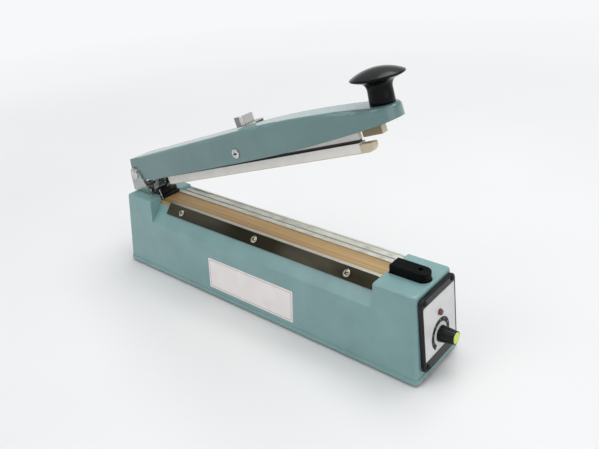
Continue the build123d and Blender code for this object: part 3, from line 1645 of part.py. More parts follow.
# Names and files
pieces = {
    "base_casting": base_casting,
    "bottom_cover": bottom_cover,
    "cover_screws": cover_screws,
    "rubber_feet": rubber_feet,
    "foot_screws": foot_screws,
    "bed_bar": bed_bar,
    "heating_ribbon": heating_ribbon,
    "ptfe_cloth": ptfe_cloth,
    "front_strip": front_strip,
    "clamp_screws": clamp_screws,
    "rear_rail": rear_rail,
    "rail_screws": rail_screws,
    "terminal_insulators": terminal_insulators,
    "terminal_clamps": terminal_clamps,
    "terminal_cover": terminal_cover,
    "hinge_bracket": hinge_bracket,
    "bracket_screws": bracket_screws,
    "hinge_pin": hinge_pin,
    "pin_clip": pin_clip,
    "spring_near": spring_near,
    "spring_far": spring_far,
    "panel_frame": panel_frame,
    "dial_plate": dial_plate,
    "panel_screws": panel_screws,
    "indicator_lamp": indicator_lamp,
    "timer_pot": timer_pot,
    "pot_nut": pot_nut,
    "timer_board": timer_board,
    "timer_knob": timer_knob,
    "knob_cap": knob_cap,
    "pot_shaft": pot_shaft,
    "transformer_core": transformer_core,
    "transformer_coil": transformer_coil,
    "transformer_strap": transformer_strap,
    "inner_screws": inner_screws,
    "switch_lever": switch_lever,
    "switch_bracket": switch_bracket,
    "lever_pin": lever_pin,
    "micro_switch": micro_switch,
    "switch_plunger": switch_plunger,
    "cord_gland": cord_gland,
    "fuse_holder": fuse_holder,
    "arm_casting": arm_casting,
    "handle_knob": handle_knob,
    "handle_screw": handle_screw,
    "bumper": bumper,
    "bumper_screw": bumper_screw,
    "pivot_screw": pivot_screw,
    "pressure_bar": pressure_bar,
    "silicone_strip": silicone_strip,
    "cutter_guide": cutter_guide,
    "guide_screws": guide_screws,
    "cutter_carriage": cutter_carriage,
    "cutter_blade": cutter_blade,
    "cutter_tab": cutter_tab,
    "cutter_screws": cutter_screws,
}
for name, piece in pieces.items():
    piece.part.label = name
    export_step(piece.part, f"parts/{name}.step")

print("hinge pin", round(pin_x, 3), round(pin_z, 3))
print("bar pivot", bar_pivot)
print("timer axis", panel_plane().from_local_coords((0, timer_rise, 0)), panel_plane().z_dir)
print("lever pivot", round(body_x + lever_pivot_x, 3), round(lever_pivot_z, 3))
print("spring foot", round(bracket_top_z, 3), "body middle", round(body_x, 3))
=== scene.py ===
import json
from math import cos, pi, radians, sin, sqrt
import bpy
from mathutils import Matrix, Vector


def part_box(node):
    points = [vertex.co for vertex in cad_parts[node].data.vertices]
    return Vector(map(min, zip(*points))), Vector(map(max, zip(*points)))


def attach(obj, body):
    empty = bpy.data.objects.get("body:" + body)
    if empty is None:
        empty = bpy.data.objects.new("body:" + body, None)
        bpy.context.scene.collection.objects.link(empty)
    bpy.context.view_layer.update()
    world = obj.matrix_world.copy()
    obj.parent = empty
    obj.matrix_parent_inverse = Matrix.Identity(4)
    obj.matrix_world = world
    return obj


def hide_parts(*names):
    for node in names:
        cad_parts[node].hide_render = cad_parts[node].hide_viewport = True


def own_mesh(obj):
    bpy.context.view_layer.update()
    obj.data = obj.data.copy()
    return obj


# Hand impulse bag sealer. Metres, +Z up, +X to the control panel, -Y to the user.
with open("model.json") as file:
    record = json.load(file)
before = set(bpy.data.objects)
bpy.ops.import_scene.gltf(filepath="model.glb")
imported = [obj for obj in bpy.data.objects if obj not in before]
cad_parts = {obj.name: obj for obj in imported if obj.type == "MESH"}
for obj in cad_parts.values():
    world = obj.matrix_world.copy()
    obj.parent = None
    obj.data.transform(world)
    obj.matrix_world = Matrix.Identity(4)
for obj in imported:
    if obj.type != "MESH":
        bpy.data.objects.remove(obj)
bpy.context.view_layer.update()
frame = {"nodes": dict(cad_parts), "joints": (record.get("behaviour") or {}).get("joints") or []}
nodes = frame["nodes"]
joints = {joint["name"]: joint for joint in frame["joints"]}
mm = 0.001

# Camera, found from the corners of the base in the photo
image_width = 599
focal_pixels = 644.2
camera_place = (0.42419, -0.4365, 0.4150)
camera_yaw = radians(41.46)
camera_pitch = radians(27.92)
camera_roll = radians(-4.37)

# Directions and places of the part
up = Vector((0, 0, 1))
near = Vector((0, -1, 0))
arm_along = Vector(joints["cutter_slide"]["axis"])
arm_up = Vector((-arm_along.z, 0, arm_along.x))
hinge_pin = Vector(joints["arm_hinge"]["pos_m"])
panel_out = Vector(joints["timer_turn"]["axis"])
panel_up = Vector((-panel_out.z, 0, panel_out.x))
panel_across = Vector((0, 1, 0))
timer_place = Vector((201.7918, 0, 39.2343)) * mm
bar_along = Vector((0.9461, 0, 0.3239))
bar_up = Vector((-0.3239, 0, 0.9461))
bar_pivot = Vector(joints["bar_rock"]["pos_m"])
slope = radians(50)
bed_near_y = -14.9558 * mm
bed_z = 88.2 * mm
print_thickness = 0.04 * mm


# Materials
def shader(name, roughness=0.5, metallic=0.0):
    """New material, its node tree and its surface shader."""
    material = bpy.data.materials.new(name)
    material.use_nodes = True
    surface = material.node_tree.nodes["Principled BSDF"]
    surface.inputs["Roughness"].default_value = roughness
    surface.inputs["Metallic"].default_value = metallic
    return material, material.node_tree, surface


def coordinates(tree, stretch=(1, 1, 1)):
    """Object coordinates in metres, stretched."""
    source = tree.nodes.new("ShaderNodeTexCoord")
    mapping = tree.nodes.new("ShaderNodeMapping")
    mapping.inputs["Scale"].default_value = stretch
    tree.links.new(source.outputs["Object"], mapping.inputs["Vector"])
    return mapping.outputs["Vector"]


def noise(tree, scale, detail=3.0, stretch=(1, 1, 1)):
    """Noise of a scale in cycles per metre."""
    texture = tree.nodes.new("ShaderNodeTexNoise")
    texture.inputs["Scale"].default_value = scale
    texture.inputs["Detail"].default_value = detail
    tree.links.new(coordinates(tree, stretch), texture.inputs["Vector"])
    return texture.outputs["Fac"]


def cells(tree, scale):
    """Distance to the nearest of scattered points, in cycles per metre."""
    texture = tree.nodes.new("ShaderNodeTexVoronoi")
    texture.feature = "SMOOTH_F1"
    texture.inputs["Scale"].default_value = scale
    tree.links.new(coordinates(tree), texture.inputs["Vector"])
    return texture.outputs["Distance"]


def waves(tree, scale, direction, distortion=0.0):
    """Bands across one direction, in cycles per metre."""
    texture = tree.nodes.new("ShaderNodeTexWave")
    texture.bands_direction = direction
    texture.inputs["Scale"].default_value = scale
    texture.inputs["Distortion"].default_value = distortion
    tree.links.new(coordinates(tree), texture.inputs["Vector"])
    return texture.outputs["Fac"]


def ramp(tree, source, stops):
    """Colours or greys at places along a source."""
    made = tree.nodes.new("ShaderNodeValToRGB")
    band = made.color_ramp
    while len(band.elements) < len(stops):
        band.elements.new(1.0)
    for element, (place, colour) in zip(band.elements, stops):
        element.position = place
        parts = colour if hasattr(colour, "__len__") else (colour, colour, colour)
        element.color = (*parts, 1)
    tree.links.new(source, made.inputs["Fac"])
    return made.outputs["Color"]


def combined(tree, first, second, operation="ADD", share=None):
    """Two values joined by a sum or a product."""
    made = tree.nodes.new("ShaderNodeMath")
    made.operation = operation
    tree.links.new(first, made.inputs[0])
    if share is None:
        tree.links.new(second, made.inputs[1])
    else:
        made.inputs[1].default_value = share
    return made.outputs[0]


def multiplied(tree, first, second, share):
    """First colour darkened by a share of the second."""
    mixed = tree.nodes.new("ShaderNodeMix")
    mixed.data_type = "RGBA"
    mixed.blend_type = "MULTIPLY"
    mixed.inputs["Factor"].default_value = share
    tree.links.new(first, mixed.inputs["A"])
    tree.links.new(second, mixed.inputs["B"])
    return mixed.outputs["Result"]


def bump(tree, surface, height, strength, distance):
    """Relief on a surface from a height."""
    made = tree.nodes.new("ShaderNodeBump")
    made.inputs["Strength"].default_value = strength
    made.inputs["Distance"].default_value = distance
    tree.links.new(height, made.inputs["Height"])
    tree.links.new(made.outputs["Normal"], surface.inputs["Normal"])


def set_colour(tree, surface, tone):
    """Base colour of a surface."""
    tree.links.new(tone, surface.inputs["Base Color"])


def set_roughness(tree, surface, scale, low, high):
    """Roughness that wanders between two values."""
    wander = ramp(tree, noise(tree, scale, 5), [(0.3, low), (0.7, high)])
    tree.links.new(wander, surface.inputs["Roughness"])


def hammered_paint(name, dark, light, coat):
    """Paint on a casting: soft patches, a fine hammer relief and uneven gloss."""
    material, tree, surface = shader(name)
    set_colour(tree, surface, ramp(tree, noise(tree, 28, 4), [(0.3, dark), (0.7, light)]))
    set_roughness(tree, surface, 160, 0.34, 0.5)
    dimples = combined(tree, cells(tree, 420), noise(tree, 900, 2))
    bump(tree, surface, dimples, 0.22, 0.25 * mm)
    surface.inputs["Coat Weight"].default_value = coat
    surface.inputs["Coat Roughness"].default_value = 0.14
    return material


def metal(name, dark, light, roughness, grain, stretch, relief=0.05):
    """Metal with a drawn grain along one direction."""
    material, tree, surface = shader(name, roughness, 1.0)
    lines = noise(tree, grain, 4, stretch)
    set_colour(tree, surface, ramp(tree, lines, [(0.25, dark), (0.75, light)]))
    set_roughness(tree, surface, 90, roughness * 0.75, roughness * 1.3)
    bump(tree, surface, lines, relief, 0.05 * mm)
    return material


def plastic(name, dark, light, roughness, grain, relief, shine=0.5):
    """Moulded plastic or rubber with a fine grain."""
    material, tree, surface = shader(name, roughness)
    surface.inputs["Specular IOR Level"].default_value = shine
    set_colour(tree, surface, ramp(tree, noise(tree, 60, 4), [(0.3, dark), (0.7, light)]))
    set_roughness(tree, surface, 140, roughness * 0.85, roughness * 1.15)
    bump(tree, surface, noise(tree, grain, 3), relief, 0.08 * mm)
    return material


def coated_cloth():
    """Tan coated glass cloth: a fine weave under a smooth coat, with painted shade in thin lines along
    the ribbon's edges, and a little darker towards the near and far sides.
    """
    material, tree, surface = shader("ptfe_cloth", 0.42)
    weave = combined(tree, waves(tree, 420, "X"), waves(tree, 420, "Y"), "MULTIPLY")
    stains = noise(tree, 14, 4, (0.3, 3.5, 1))
    tone = ramp(tree, stains, [(0.3, (0.36, 0.218, 0.082)), (0.7, (0.58, 0.39, 0.168))])
    tone = multiplied(tree, tone, ramp(tree, weave, [(0.0, 0.55), (0.6, 1.0)]), 0.35)
    axes = tree.nodes.new("ShaderNodeSeparateXYZ")
    tree.links.new(coordinates(tree, (1, 32, 1)), axes.inputs["Vector"])
    across = combined(tree, axes.outputs["Y"], None, "ADD", 0.5)
    # Painted shade: thin dark lines along the ribbon's two edges.
    near_edge_painted_shade = [(0.0, 0.85), (0.37, 1.0), (0.41, 0.7), (0.45, 1.0)]
    far_edge_painted_shade = [(0.56, 1.0), (0.59, 0.68), (0.64, 0.95), (0.9, 0.9)]
    tone = multiplied(tree, tone, ramp(tree, across, near_edge_painted_shade + far_edge_painted_shade), 0.8)
    set_colour(tree, surface, tone)
    bump(tree, surface, combined(tree, weave, noise(tree, 30, 2, (0.5, 3, 1))), 0.25, 0.12 * mm)
    surface.inputs["Coat Weight"].default_value = 0.1
    surface.inputs["Coat Roughness"].default_value = 0.3
    return material


def blended(tree, share, first, second):
    """From the first colour to the second by a share."""
    mixed = tree.nodes.new("ShaderNodeMix")
    mixed.data_type = "RGBA"
    tree.links.new(share, mixed.inputs["Factor"])
    tree.links.new(first, mixed.inputs["A"])
    tree.links.new(second, mixed.inputs["B"])
    return mixed.outputs["Result"]


def by_facing(tree, axis, edges, other, facing):
    """One colour on faces that look along an axis, and another one elsewhere."""
    geometry = tree.nodes.new("ShaderNodeNewGeometry")
    direction = tree.nodes.new("ShaderNodeSeparateXYZ")
    tree.links.new(geometry.outputs["Normal"], direction.inputs["Vector"])
    share = ramp(tree, direction.outputs[axis], [(edges[0], 0.0), (edges[1], 1.0)])
    return blended(tree, share, other, facing)


def bumper_silicone():
    """Silicone of the bumper: pale at its end that looks along X, with painted shade in olive on its
    other sides.
    """
    material, tree, surface = shader("bumper_silicone", 0.6)
    grain = noise(tree, 60, 4)
    # Painted shade: the sides are an olive, darker copy of the pale silicone.
    sides = ramp(tree, grain, [(0.3, (0.23, 0.18, 0.10)), (0.7, (0.31, 0.25, 0.145))])
    end = ramp(tree, grain, [(0.3, (0.58, 0.50, 0.35)), (0.7, (0.70, 0.61, 0.45))])
    set_colour(tree, surface, by_facing(tree, "X", (0.6, 0.8), sides, end))
    bump(tree, surface, noise(tree, 900, 3), 0.15, 0.08 * mm)
    return material


def bar_finish():
    """Pale finish of the pressure bar, with painted shade in dark brown on its up-facing faces and in a
    band along its neck.
    """
    material, tree, surface = shader("bar_finish", 0.36)
    grain = noise(tree, 60, 4)
    pale = ramp(tree, grain, [(0.3, (0.80, 0.775, 0.73)), (0.7, (0.88, 0.855, 0.81))])
    # Painted shade: dark brown on the faces that look up and in the band along the neck.
    groove_painted_shade = ramp(tree, grain, [(0.3, (0.024, 0.020, 0.015)), (0.7, (0.040, 0.034, 0.026))])
    tone = by_facing(tree, "Z", (0.6, 0.8), pale, groove_painted_shade)
    span = 20 * mm
    level = tree.nodes.new("ShaderNodeVectorMath")
    level.operation = "DOT_PRODUCT"
    level.inputs[1].default_value = bar_up / span
    tree.links.new(coordinates(tree), level.inputs[0])
    height = combined(tree, level.outputs["Value"], None, "ADD", 1 - bar_pivot.dot(bar_up) / span)
    neck = ramp(tree, height, [(0.285, 0.0), (0.295, 1.0), (0.415, 1.0), (0.425, 0.0)])
    set_colour(tree, surface, blended(tree, neck, tone, groove_painted_shade))
    set_roughness(tree, surface, 140, 0.31, 0.41)
    bump(tree, surface, noise(tree, 800, 3), 0.06, 0.08 * mm)
    return material


def handle_gloss():
    """Glossy black of the mushroom knob, with a painted highlight: a little grey on its up-facing top.
    """
    material, tree, surface = shader("black_gloss", 0.18)
    surface.inputs["Specular IOR Level"].default_value = 0.12
    grain = noise(tree, 60, 4)
    side = ramp(tree, grain, [(0.3, (0.0015, 0.0015, 0.0017)), (0.7, (0.003, 0.003, 0.0032))])
    # Painted highlight: faces that look up are a lighter grey than the sides.
    top = ramp(tree, grain, [(0.3, (0.018, 0.018, 0.0185)), (0.7, (0.026, 0.026, 0.0265))])
    set_colour(tree, surface, by_facing(tree, "Z", (0.55, 1.0), side, top))
    set_roughness(tree, surface, 140, 0.15, 0.21)
    bump(tree, surface, noise(tree, 500, 3), 0.03, 0.08 * mm)
    return material


def strip_steel():
    """Polished steel of the front strip, with painted reflection: a dark patchy face on the slope and a
    bright top edge on the bed.
    """
    material, tree, surface = shader("polished_steel", 0.36, 1.0)
    lines = noise(tree, 11, 1.5, (1, 3, 3))
    # Painted reflection: the sloped face is dark with paler patches, and the top edge that looks up is
    # bright.
    face = ramp(tree, lines, [(0.38, (0.024, 0.022, 0.014)), (0.72, (0.092, 0.086, 0.064))])
    lip_painted_reflection = ramp(tree, lines, [(0.25, (0.66, 0.63, 0.55)), (0.75, (0.78, 0.75, 0.68))])
    set_colour(tree, surface, by_facing(tree, "Z", (0.78, 0.92), face, lip_painted_reflection))
    set_roughness(tree, surface, 70, 0.3, 0.42)
    return material


def faced_steel(name, sides, fronts):
    """Plated sheet with painted light and shade: one pair of greys on its sides, another one on faces
    that look along X.
    """
    material, tree, surface = shader(name, 0.26, 1.0)
    grain = noise(tree, 60, 4, (1, 1, 3))
    side = ramp(tree, grain, [(0.25, sides[0]), (0.75, sides[1])])
    front = ramp(tree, grain, [(0.25, fronts[0]), (0.75, fronts[1])])
    set_colour(tree, surface, by_facing(tree, "X", (0.3, 0.5), side, front))
    set_roughness(tree, surface, 90, 0.2, 0.33)
    return material


def darker(colour, share):
    """Colour times a share."""
    return tuple(part * share for part in colour)


def lens(name, colour):
    """Clear tinted plastic of a small lamp."""
    material, tree, surface = shader(name, 0.12)
    depth = [(0.3, darker(colour, 0.6)), (0.7, colour)]
    set_colour(tree, surface, ramp(tree, noise(tree, 500, 2), depth))
    surface.inputs["Coat Weight"].default_value = 0.8
    surface.inputs["Coat Roughness"].default_value = 0.05
    return material


def print_ink(name, colour):
    """Ink printed on a plate, a little uneven."""
    material, tree, surface = shader(name, 0.55)
    surface.inputs["Specular IOR Level"].default_value = 0.25
    tones = [(0.2, darker(colour, 0.8)), (0.8, colour)]
    set_colour(tree, surface, ramp(tree, noise(tree, 700, 3), tones))
    return material


along = (1, 14, 14)
paint = hammered_paint("teal_paint", (0.168, 0.304, 0.304), (0.206, 0.358, 0.358), 0.5)
# The arm's paint is a darker copy of the base's teal paint: painted shade on the arm.
shaded_arm_paint = hammered_paint("shaded_arm_paint", (0.090, 0.178, 0.178), (0.110, 0.212, 0.212), 0.8)
plated = metal("plated_steel", (0.55, 0.56, 0.55), (0.66, 0.67, 0.65), 0.24, 60, (1, 1, 3), 0.02)
wire_steel = metal("spring_steel", (0.14, 0.135, 0.12), (0.26, 0.25, 0.23), 0.3, 300, (1, 1, 1))
warm_plated = metal("warm_plated", (0.40, 0.375, 0.30), (0.54, 0.51, 0.42), 0.24, 60, (1, 1, 3), 0.02)
painted_recess_shade = metal("painted_recess_shade", (0.03, 0.03, 0.027), (0.06, 0.06, 0.055), 0.5, 60, (1, 1, 3), 0.02)
polished = strip_steel()
# Hinge bracket: painted shade on its sides, painted highlight on its edges that look along X.
bracket_shade_greys = ((0.36, 0.39, 0.385), (0.46, 0.49, 0.48))
edge_highlight_greys = ((0.82, 0.82, 0.80), (0.92, 0.92, 0.90))
hinge_steel = faced_steel("bracket_steel", bracket_shade_greys, edge_highlight_greys)
# Cutter tab: painted shade on its flange, plain steel on its plate that looks along X.
flange_shade_greys = ((0.22, 0.22, 0.21), (0.30, 0.30, 0.285))
plate_greys = ((0.60, 0.59, 0.57), (0.68, 0.67, 0.65))
tab_metal = faced_steel("tab_steel", flange_shade_greys, plate_greys)
aluminium = metal("raw_aluminium", (0.63, 0.63, 0.57), (0.74, 0.74, 0.67), 0.42, 40, along, 0.04)
nichrome = metal("nichrome", (0.25, 0.23, 0.2), (0.35, 0.32, 0.28), 0.35, 90, along)
brass = metal("brass", (0.5, 0.36, 0.14), (0.66, 0.5, 0.22), 0.3, 90, along)
core_steel = metal("core_steel", (0.1, 0.1, 0.1), (0.2, 0.2, 0.2), 0.5, 900, (1, 12, 1))
winding = plastic("winding", (0.3, 0.12, 0.05), (0.42, 0.18, 0.08), 0.35, 700, 0.2)
cloth = coated_cloth()
silicone = plastic("silicone", (0.58, 0.50, 0.35), (0.72, 0.63, 0.47), 0.6, 900, 0.15)
silicone_with_painted_shade = bumper_silicone()
bar_paint = bar_finish()
rubber = plastic("black_rubber", (0.012, 0.012, 0.012), (0.022, 0.022, 0.022), 0.7, 1200, 0.2)
black = plastic("black_plastic", (0.004, 0.004, 0.0045), (0.008, 0.008, 0.0085), 0.3, 1500, 0.1, 0.3)
lever_black = plastic(
    "lever_black", (0.003, 0.003, 0.0033), (0.006, 0.006, 0.0063), 0.22, 900, 0.05, 0.06
)
gloss_black = handle_gloss()
white_plate = plastic("white_plate", (0.64, 0.65, 0.645), (0.70, 0.71, 0.705), 0.4, 900, 0.03)
lime = plastic("lime_plastic", (0.57, 0.66, 0.08), (0.68, 0.77, 0.11), 0.3, 700, 0.03)
red_part = plastic("red_plastic", (0.32, 0.02, 0.015), (0.42, 0.03, 0.02), 0.4, 700, 0.05)
board = plastic("board", (0.02, 0.11, 0.05), (0.03, 0.15, 0.07), 0.4, 900, 0.05)
red_lens = lens("red_lens", (0.15, 0.007, 0.005))
label_film = plastic("label_film", (0.82, 0.77, 0.755), (0.88, 0.83, 0.815), 0.38, 600, 0.04)
black_ink = print_ink("black_ink", (0.02, 0.02, 0.02))
white_ink = print_ink("white_ink", (0.62, 0.62, 0.6))
border_ink = print_ink("border_ink", (0.30, 0.10, 0.10))

# Materials of the CAD nodes
finishes = {
    paint: ["base_casting"],
    shaded_arm_paint: ["arm_casting"],
    hinge_steel: ["hinge_bracket"],
    plated: ["hinge_pin", "pin_clip", "switch_bracket", "lever_pin", "transformer_strap",
             "bottom_cover", "cutter_blade", "pot_nut", "pot_shaft", "cover_screws", "foot_screws",
             "rail_screws", "inner_screws", "handle_screw", "bumper_screw", "guide_screws",
             "cutter_screws", "clamp_screws", "panel_screws", "bracket_screws", "pivot_screw"],
    wire_steel: ["spring_near", "spring_far"],
    polished: ["front_strip"],
    tab_metal: ["cutter_tab"],
    aluminium: ["rear_rail", "cutter_guide", "cutter_carriage"],
    bar_paint: ["pressure_bar"],
    nichrome: ["heating_ribbon"],
    brass: ["terminal_clamps"],
    core_steel: ["transformer_core"],
    winding: ["transformer_coil"],
    cloth: ["ptfe_cloth", "bed_bar"],
    silicone: ["silicone_strip", "bumper"],
    rubber: ["rubber_feet", "cord_gland"],
    lever_black: ["switch_lever"],
    black: ["panel_frame", "timer_knob", "terminal_cover", "terminal_insulators", "timer_pot",
            "micro_switch", "fuse_holder"],
    gloss_black: ["handle_knob"],
    white_plate: ["dial_plate"],
    lime: ["knob_cap"],
    red_part: ["switch_plunger"],
    board: ["timer_board"],
    red_lens: ["indicator_lamp"],
}
for finish, names in finishes.items():
    for name in names:
        nodes[name].data.materials.clear()
        nodes[name].data.materials.append(finish)


# Pieces made here
def made_piece(name, points, faces, body, finish, replaced=(), smooth=True):
    """New mesh piece that rides on a body and stands for CAD nodes."""
    mesh = bpy.data.meshes.new(name)
    mesh.from_pydata(points, [], faces)
    mesh.validate()
    mesh.polygons.foreach_set("use_smooth", [smooth] * len(mesh.polygons))
    mesh.materials.append(finish)
    made = bpy.data.objects.new(name, mesh)
    bpy.context.scene.collection.objects.link(made)
    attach(made, body)
    if replaced:
        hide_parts(*replaced)
    return made


def bevelled(made, width, segments=3):
    """Rounds a piece's sharp edges."""
    rounded = made.modifiers.new("bevel", "BEVEL")
    rounded.width = width
    rounded.segments = segments
    rounded.limit_method = "ANGLE"
    rounded.angle_limit = radians(35)
    rounded.harden_normals = True


def thickened(made, thickness):
    """Gives a flat piece a thickness, half to each side."""
    solid = made.modifiers.new("thickness", "SOLIDIFY")
    solid.thickness = thickness
    solid.offset = 0


def axes_on(normal, hint):
    """Two directions square to a normal, the second one near a hint."""
    first = hint.cross(normal).normalized()
    return first, normal.cross(first)


def grid_faces(rows, columns, closed=False, start=0):
    """Faces of a grid of points that was written row by row."""
    last = columns if closed else columns - 1
    return [
        (
            start + row * columns + column,
            start + row * columns + (column + 1) % columns,
            start + (row + 1) * columns + (column + 1) % columns,
            start + (row + 1) * columns + column,
        )
        for row in range(rows - 1)
        for column in range(last)
    ]


def tube_faces(rows, columns, start=0):
    """Faces of rings of points, with both ends closed."""
    last = start + (rows - 1) * columns
    ends = [tuple(reversed(range(start, start + columns))), tuple(range(last, last + columns))]
    return grid_faces(rows, columns, True, start) + ends


def side_faces(count):
    """Faces between two equal outlines."""
    return grid_faces(2, count, True)


def prism_faces(count):
    """Faces between two equal outlines, with both ends closed."""
    ends = [tuple(reversed(range(count))), tuple(range(count, 2 * count))]
    return ends + side_faces(count)


def lathe(place, normal, profile, segments):
    """Points and faces of a form turned about a normal, from radii and heights."""
    first, second = axes_on(normal, Vector((0.3, 0.8, 0.5)))
    points = []
    for radius, height in profile:
        for step in range(segments):
            angle = 2 * pi * step / segments
            side = first * cos(angle) + second * sin(angle)
            points.append(place + side * radius + normal * height)
    return points, tube_faces(len(profile), segments)


def prism(outline, origin, first, second, half):
    """Points and faces of an outline that is drawn on two directions and has a width across them."""
    across = first.cross(second)
    points = [
        origin + first * x + second * y + across * side
        for side in (-half, half)
        for x, y in outline
    ]
    return points, prism_faces(len(outline))


def arc_points(centre, radius, start, end, steps):
    """Points along an arc between two angles in degrees."""
    angles = [radians(start + (end - start) * step / steps) for step in range(steps + 1)]
    return [(centre[0] + radius * cos(angle), centre[1] + radius * sin(angle)) for angle in angles]


def rounded_box(left, right, low, high, radius, steps=6):
    """Outline of a rectangle with round corners."""
    return (
        arc_points((right - radius, low + radius), radius, -90, 0, steps)
        + arc_points((right - radius, high - radius), radius, 0, 90, steps)
        + arc_points((left + radius, high - radius), radius, 90, 180, steps)
        + arc_points((left + radius, low + radius), radius, 180, 270, steps)
    )


def soft_step(value, edge, width):
    """One below an edge and zero above it, with a slope between."""
    return min(max((edge + width / 2 - value) / width, 0), 1)


def cross_screws(name, seats, radius, head, shank, body, finish, node, spins):
    """Screws with a round head and a cross recess, and with a plain shank of a radius and a length; the
    faces inside the recess get painted shade.
    """
    points, faces, cuts = [], [], []
    rings, segments = 22, 64
    slot_half, slot_reach, slot_depth = 0.15, 0.6, 0.55
    side_slope, end_slope, rounding = 0.05, 0.08, 0.5
    for (place, normal), spin in zip(seats, spins):
        first, second = axes_on(normal, Vector((0.2, 0.3, 0.93)))
        start = len(points)
        rows = [(shank[0], -shank[1]), (shank[0], 0), (radius, 0)]
        rows += [(radius * (1 - ring / rings), None) for ring in range(rings)]
        rows += [(0.01 * radius, None)]
        for reach, height in rows:
            for step in range(segments):
                angle = 2 * pi * step / segments
                x, y = reach * cos(angle), reach * sin(angle)
                level, cut = height, 0
                if height is None:
                    turned_x = abs(x * cos(spin) + y * sin(spin)) / radius
                    turned_y = abs(y * cos(spin) - x * sin(spin)) / radius
                    longer, shorter = max(turned_x, turned_y), min(turned_x, turned_y)
                    cut = soft_step(shorter, slot_half, side_slope)
                    cut *= soft_step(longer, slot_reach, end_slope)
                    level = head * (1 - rounding * (reach / radius) ** 3 - slot_depth * cut)
                points.append(place + first * x + second * y + normal * level)
                cuts.append(cut)
        faces += tube_faces(len(rows), segments, start)
    heads = made_piece(name, points, faces, body, finish, (node,))
    # Painted shade: faces inside the cross recess get a near-black steel.
    heads.data.materials.append(painted_recess_shade)
    for face in heads.data.polygons:
        face.material_index = int(min(cuts[index] for index in face.vertices) > 0.3)


def make_cloth():
    """Coated cloth: drawn flat over bed and ribbon, down under the strip, with a cut left corner."""
    left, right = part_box("ptfe_cloth")[0][0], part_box("ptfe_cloth")[1][0]
    strip_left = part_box("front_strip")[0][0]
    far_y, thick = 14 * mm, 0.3 * mm
    corner, drop, edge = 9 * mm, 13.5 * mm, 4.6 * mm
    curl_height, curl_length, curl_width = 1.1 * mm, 11 * mm, 16 * mm
    ridge_height, ridge_half, ridge_slope = 0.2 * mm, 2.9 * mm, 1.0 * mm
    ripple_height = 0.05 * mm
    rows, columns = 60, 150
    low_rows, strip_columns, flap_columns = 8, 60, 12
    points = []
    for row in range(rows):
        y = bed_near_y + (far_y - bed_near_y) * row / (rows - 1)
        inside = max(bed_near_y + corner - y, 0)
        start = left + corner - sqrt(corner**2 - inside**2)
        for column in range(columns):
            x = start + (right - start) * column / (columns - 1)
            ridge = ridge_height * soft_step(abs(y), ridge_half, ridge_slope)
            wave = sin(x / (7 * mm) + 3 * sin(y / (5 * mm))) + sin(x / (19 * mm) + 1.7)
            ripple = ripple_height * wave
            curl = curl_height * max(1 - (x - left) / curl_length, 0) ** 2
            curl *= max(1 - (y - bed_near_y) / curl_width, 0)
            points.append((x, y, bed_z + thick / 2 + ridge + max(ripple, 0) + curl))
    faces = grid_faces(rows, columns)
    first = len(points)
    for row in range(low_rows):
        down = drop * row / (low_rows - 1)
        for column in range(strip_columns):
            x = strip_left + (right - strip_left) * column / (strip_columns - 1)
            y = bed_near_y - down * cos(slope) - thick / 2 * sin(slope)
            points.append((x, y, bed_z - down * sin(slope) + thick / 2 * cos(slope)))
    faces += grid_faces(low_rows, strip_columns, False, first)
    first = len(points)
    for row in range(low_rows):
        share = row / (low_rows - 1)
        down = edge * share
        start = left + corner + 4 * mm * share**2
        for column in range(flap_columns):
            x = start + (strip_left - start) * column / (flap_columns - 1)
            y = bed_near_y - down * cos(slope) - thick * sin(slope)
            points.append((x, y, bed_z - down * sin(slope) + thick * cos(slope)))
    faces += grid_faces(low_rows, flap_columns, False, first)
    sheet = made_piece("ptfe_sheet", points, faces, "base", cloth, ("ptfe_cloth",))
    thickened(sheet, 0.24 * mm)
    width, length = far_y - bed_near_y + drop, right - left
    area = (far_y - bed_near_y) * length + drop * (right - strip_left) - (1 - pi / 4) * corner**2
    area += edge * (strip_left - left - corner - 1.3 * mm)


def make_silicone():
    """Silicone strip in the pressure bar, with its round nose."""
    start, end, low, high, nose = -149 * mm, 159.3 * mm, -24.2 * mm, -15.5 * mm, 6.5 * mm
    outline = [(start, high), (start, low)]
    outline += arc_points((end - nose, low + nose), nose, -90, 0, 10)
    outline += [(end, high)]
    points, faces = prism(outline, bar_pivot, bar_along, bar_up, 4.1 * mm)
    strip = made_piece("silicone_bead", points, faces, "bar", silicone, ("silicone_strip",))
    bevelled(strip, 0.8 * mm)


def make_bumper():
    """Silicone block under the arm's tip."""
    start, end, low, high = 345.25 * mm, 366.75 * mm, -12.7 * mm, -5 * mm
    outline = rounded_box(start, end, low, high, 0.9 * mm, 4)
    points, faces = prism(outline, hinge_pin, arm_along, arm_up, 4 * mm)
    block = made_piece("bumper_block", points, faces, "arm", silicone_with_painted_shade, ("bumper",))
    bevelled(block, 0.7 * mm)


def make_spring(node):
    """Return spring: one round wire that climbs in even turns between flat end turns."""
    low, high = (Vector(corner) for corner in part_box(node))
    middle = (low + high) / 2
    wire = 0.85 * mm
    radius = (high.x - low.x) / 2 - wire
    height = high.z - low.z - 2 * wire
    turns, end_turns, end_rise = 4, 0.75, 1.6575 * mm
    steps, sides = 56 * turns, 14
    points = []
    for step in range(steps + 1):
        turn = turns * step / steps
        if turn < end_turns:
            rise = end_rise * turn / end_turns
        elif turn > turns - end_turns:
            rise = height - end_rise * (turns - turn) / end_turns
        else:
            rise = end_rise + (height - 2 * end_rise) * (turn - end_turns) / (turns - 2 * end_turns)
        angle = 2 * pi * turn
        outward = Vector((cos(angle), sin(angle), 0))
        centre = Vector((middle.x, middle.y, low.z + wire + rise)) + outward * radius
        for side in range(sides):
            around = 2 * pi * side / sides
            points.append(centre + outward * wire * cos(around) - up * wire * sin(around))
    faces = tube_faces(steps + 1, sides)
    coil = made_piece(node + "_coil", points, faces, "base", wire_steel, (node,))
    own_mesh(coil)


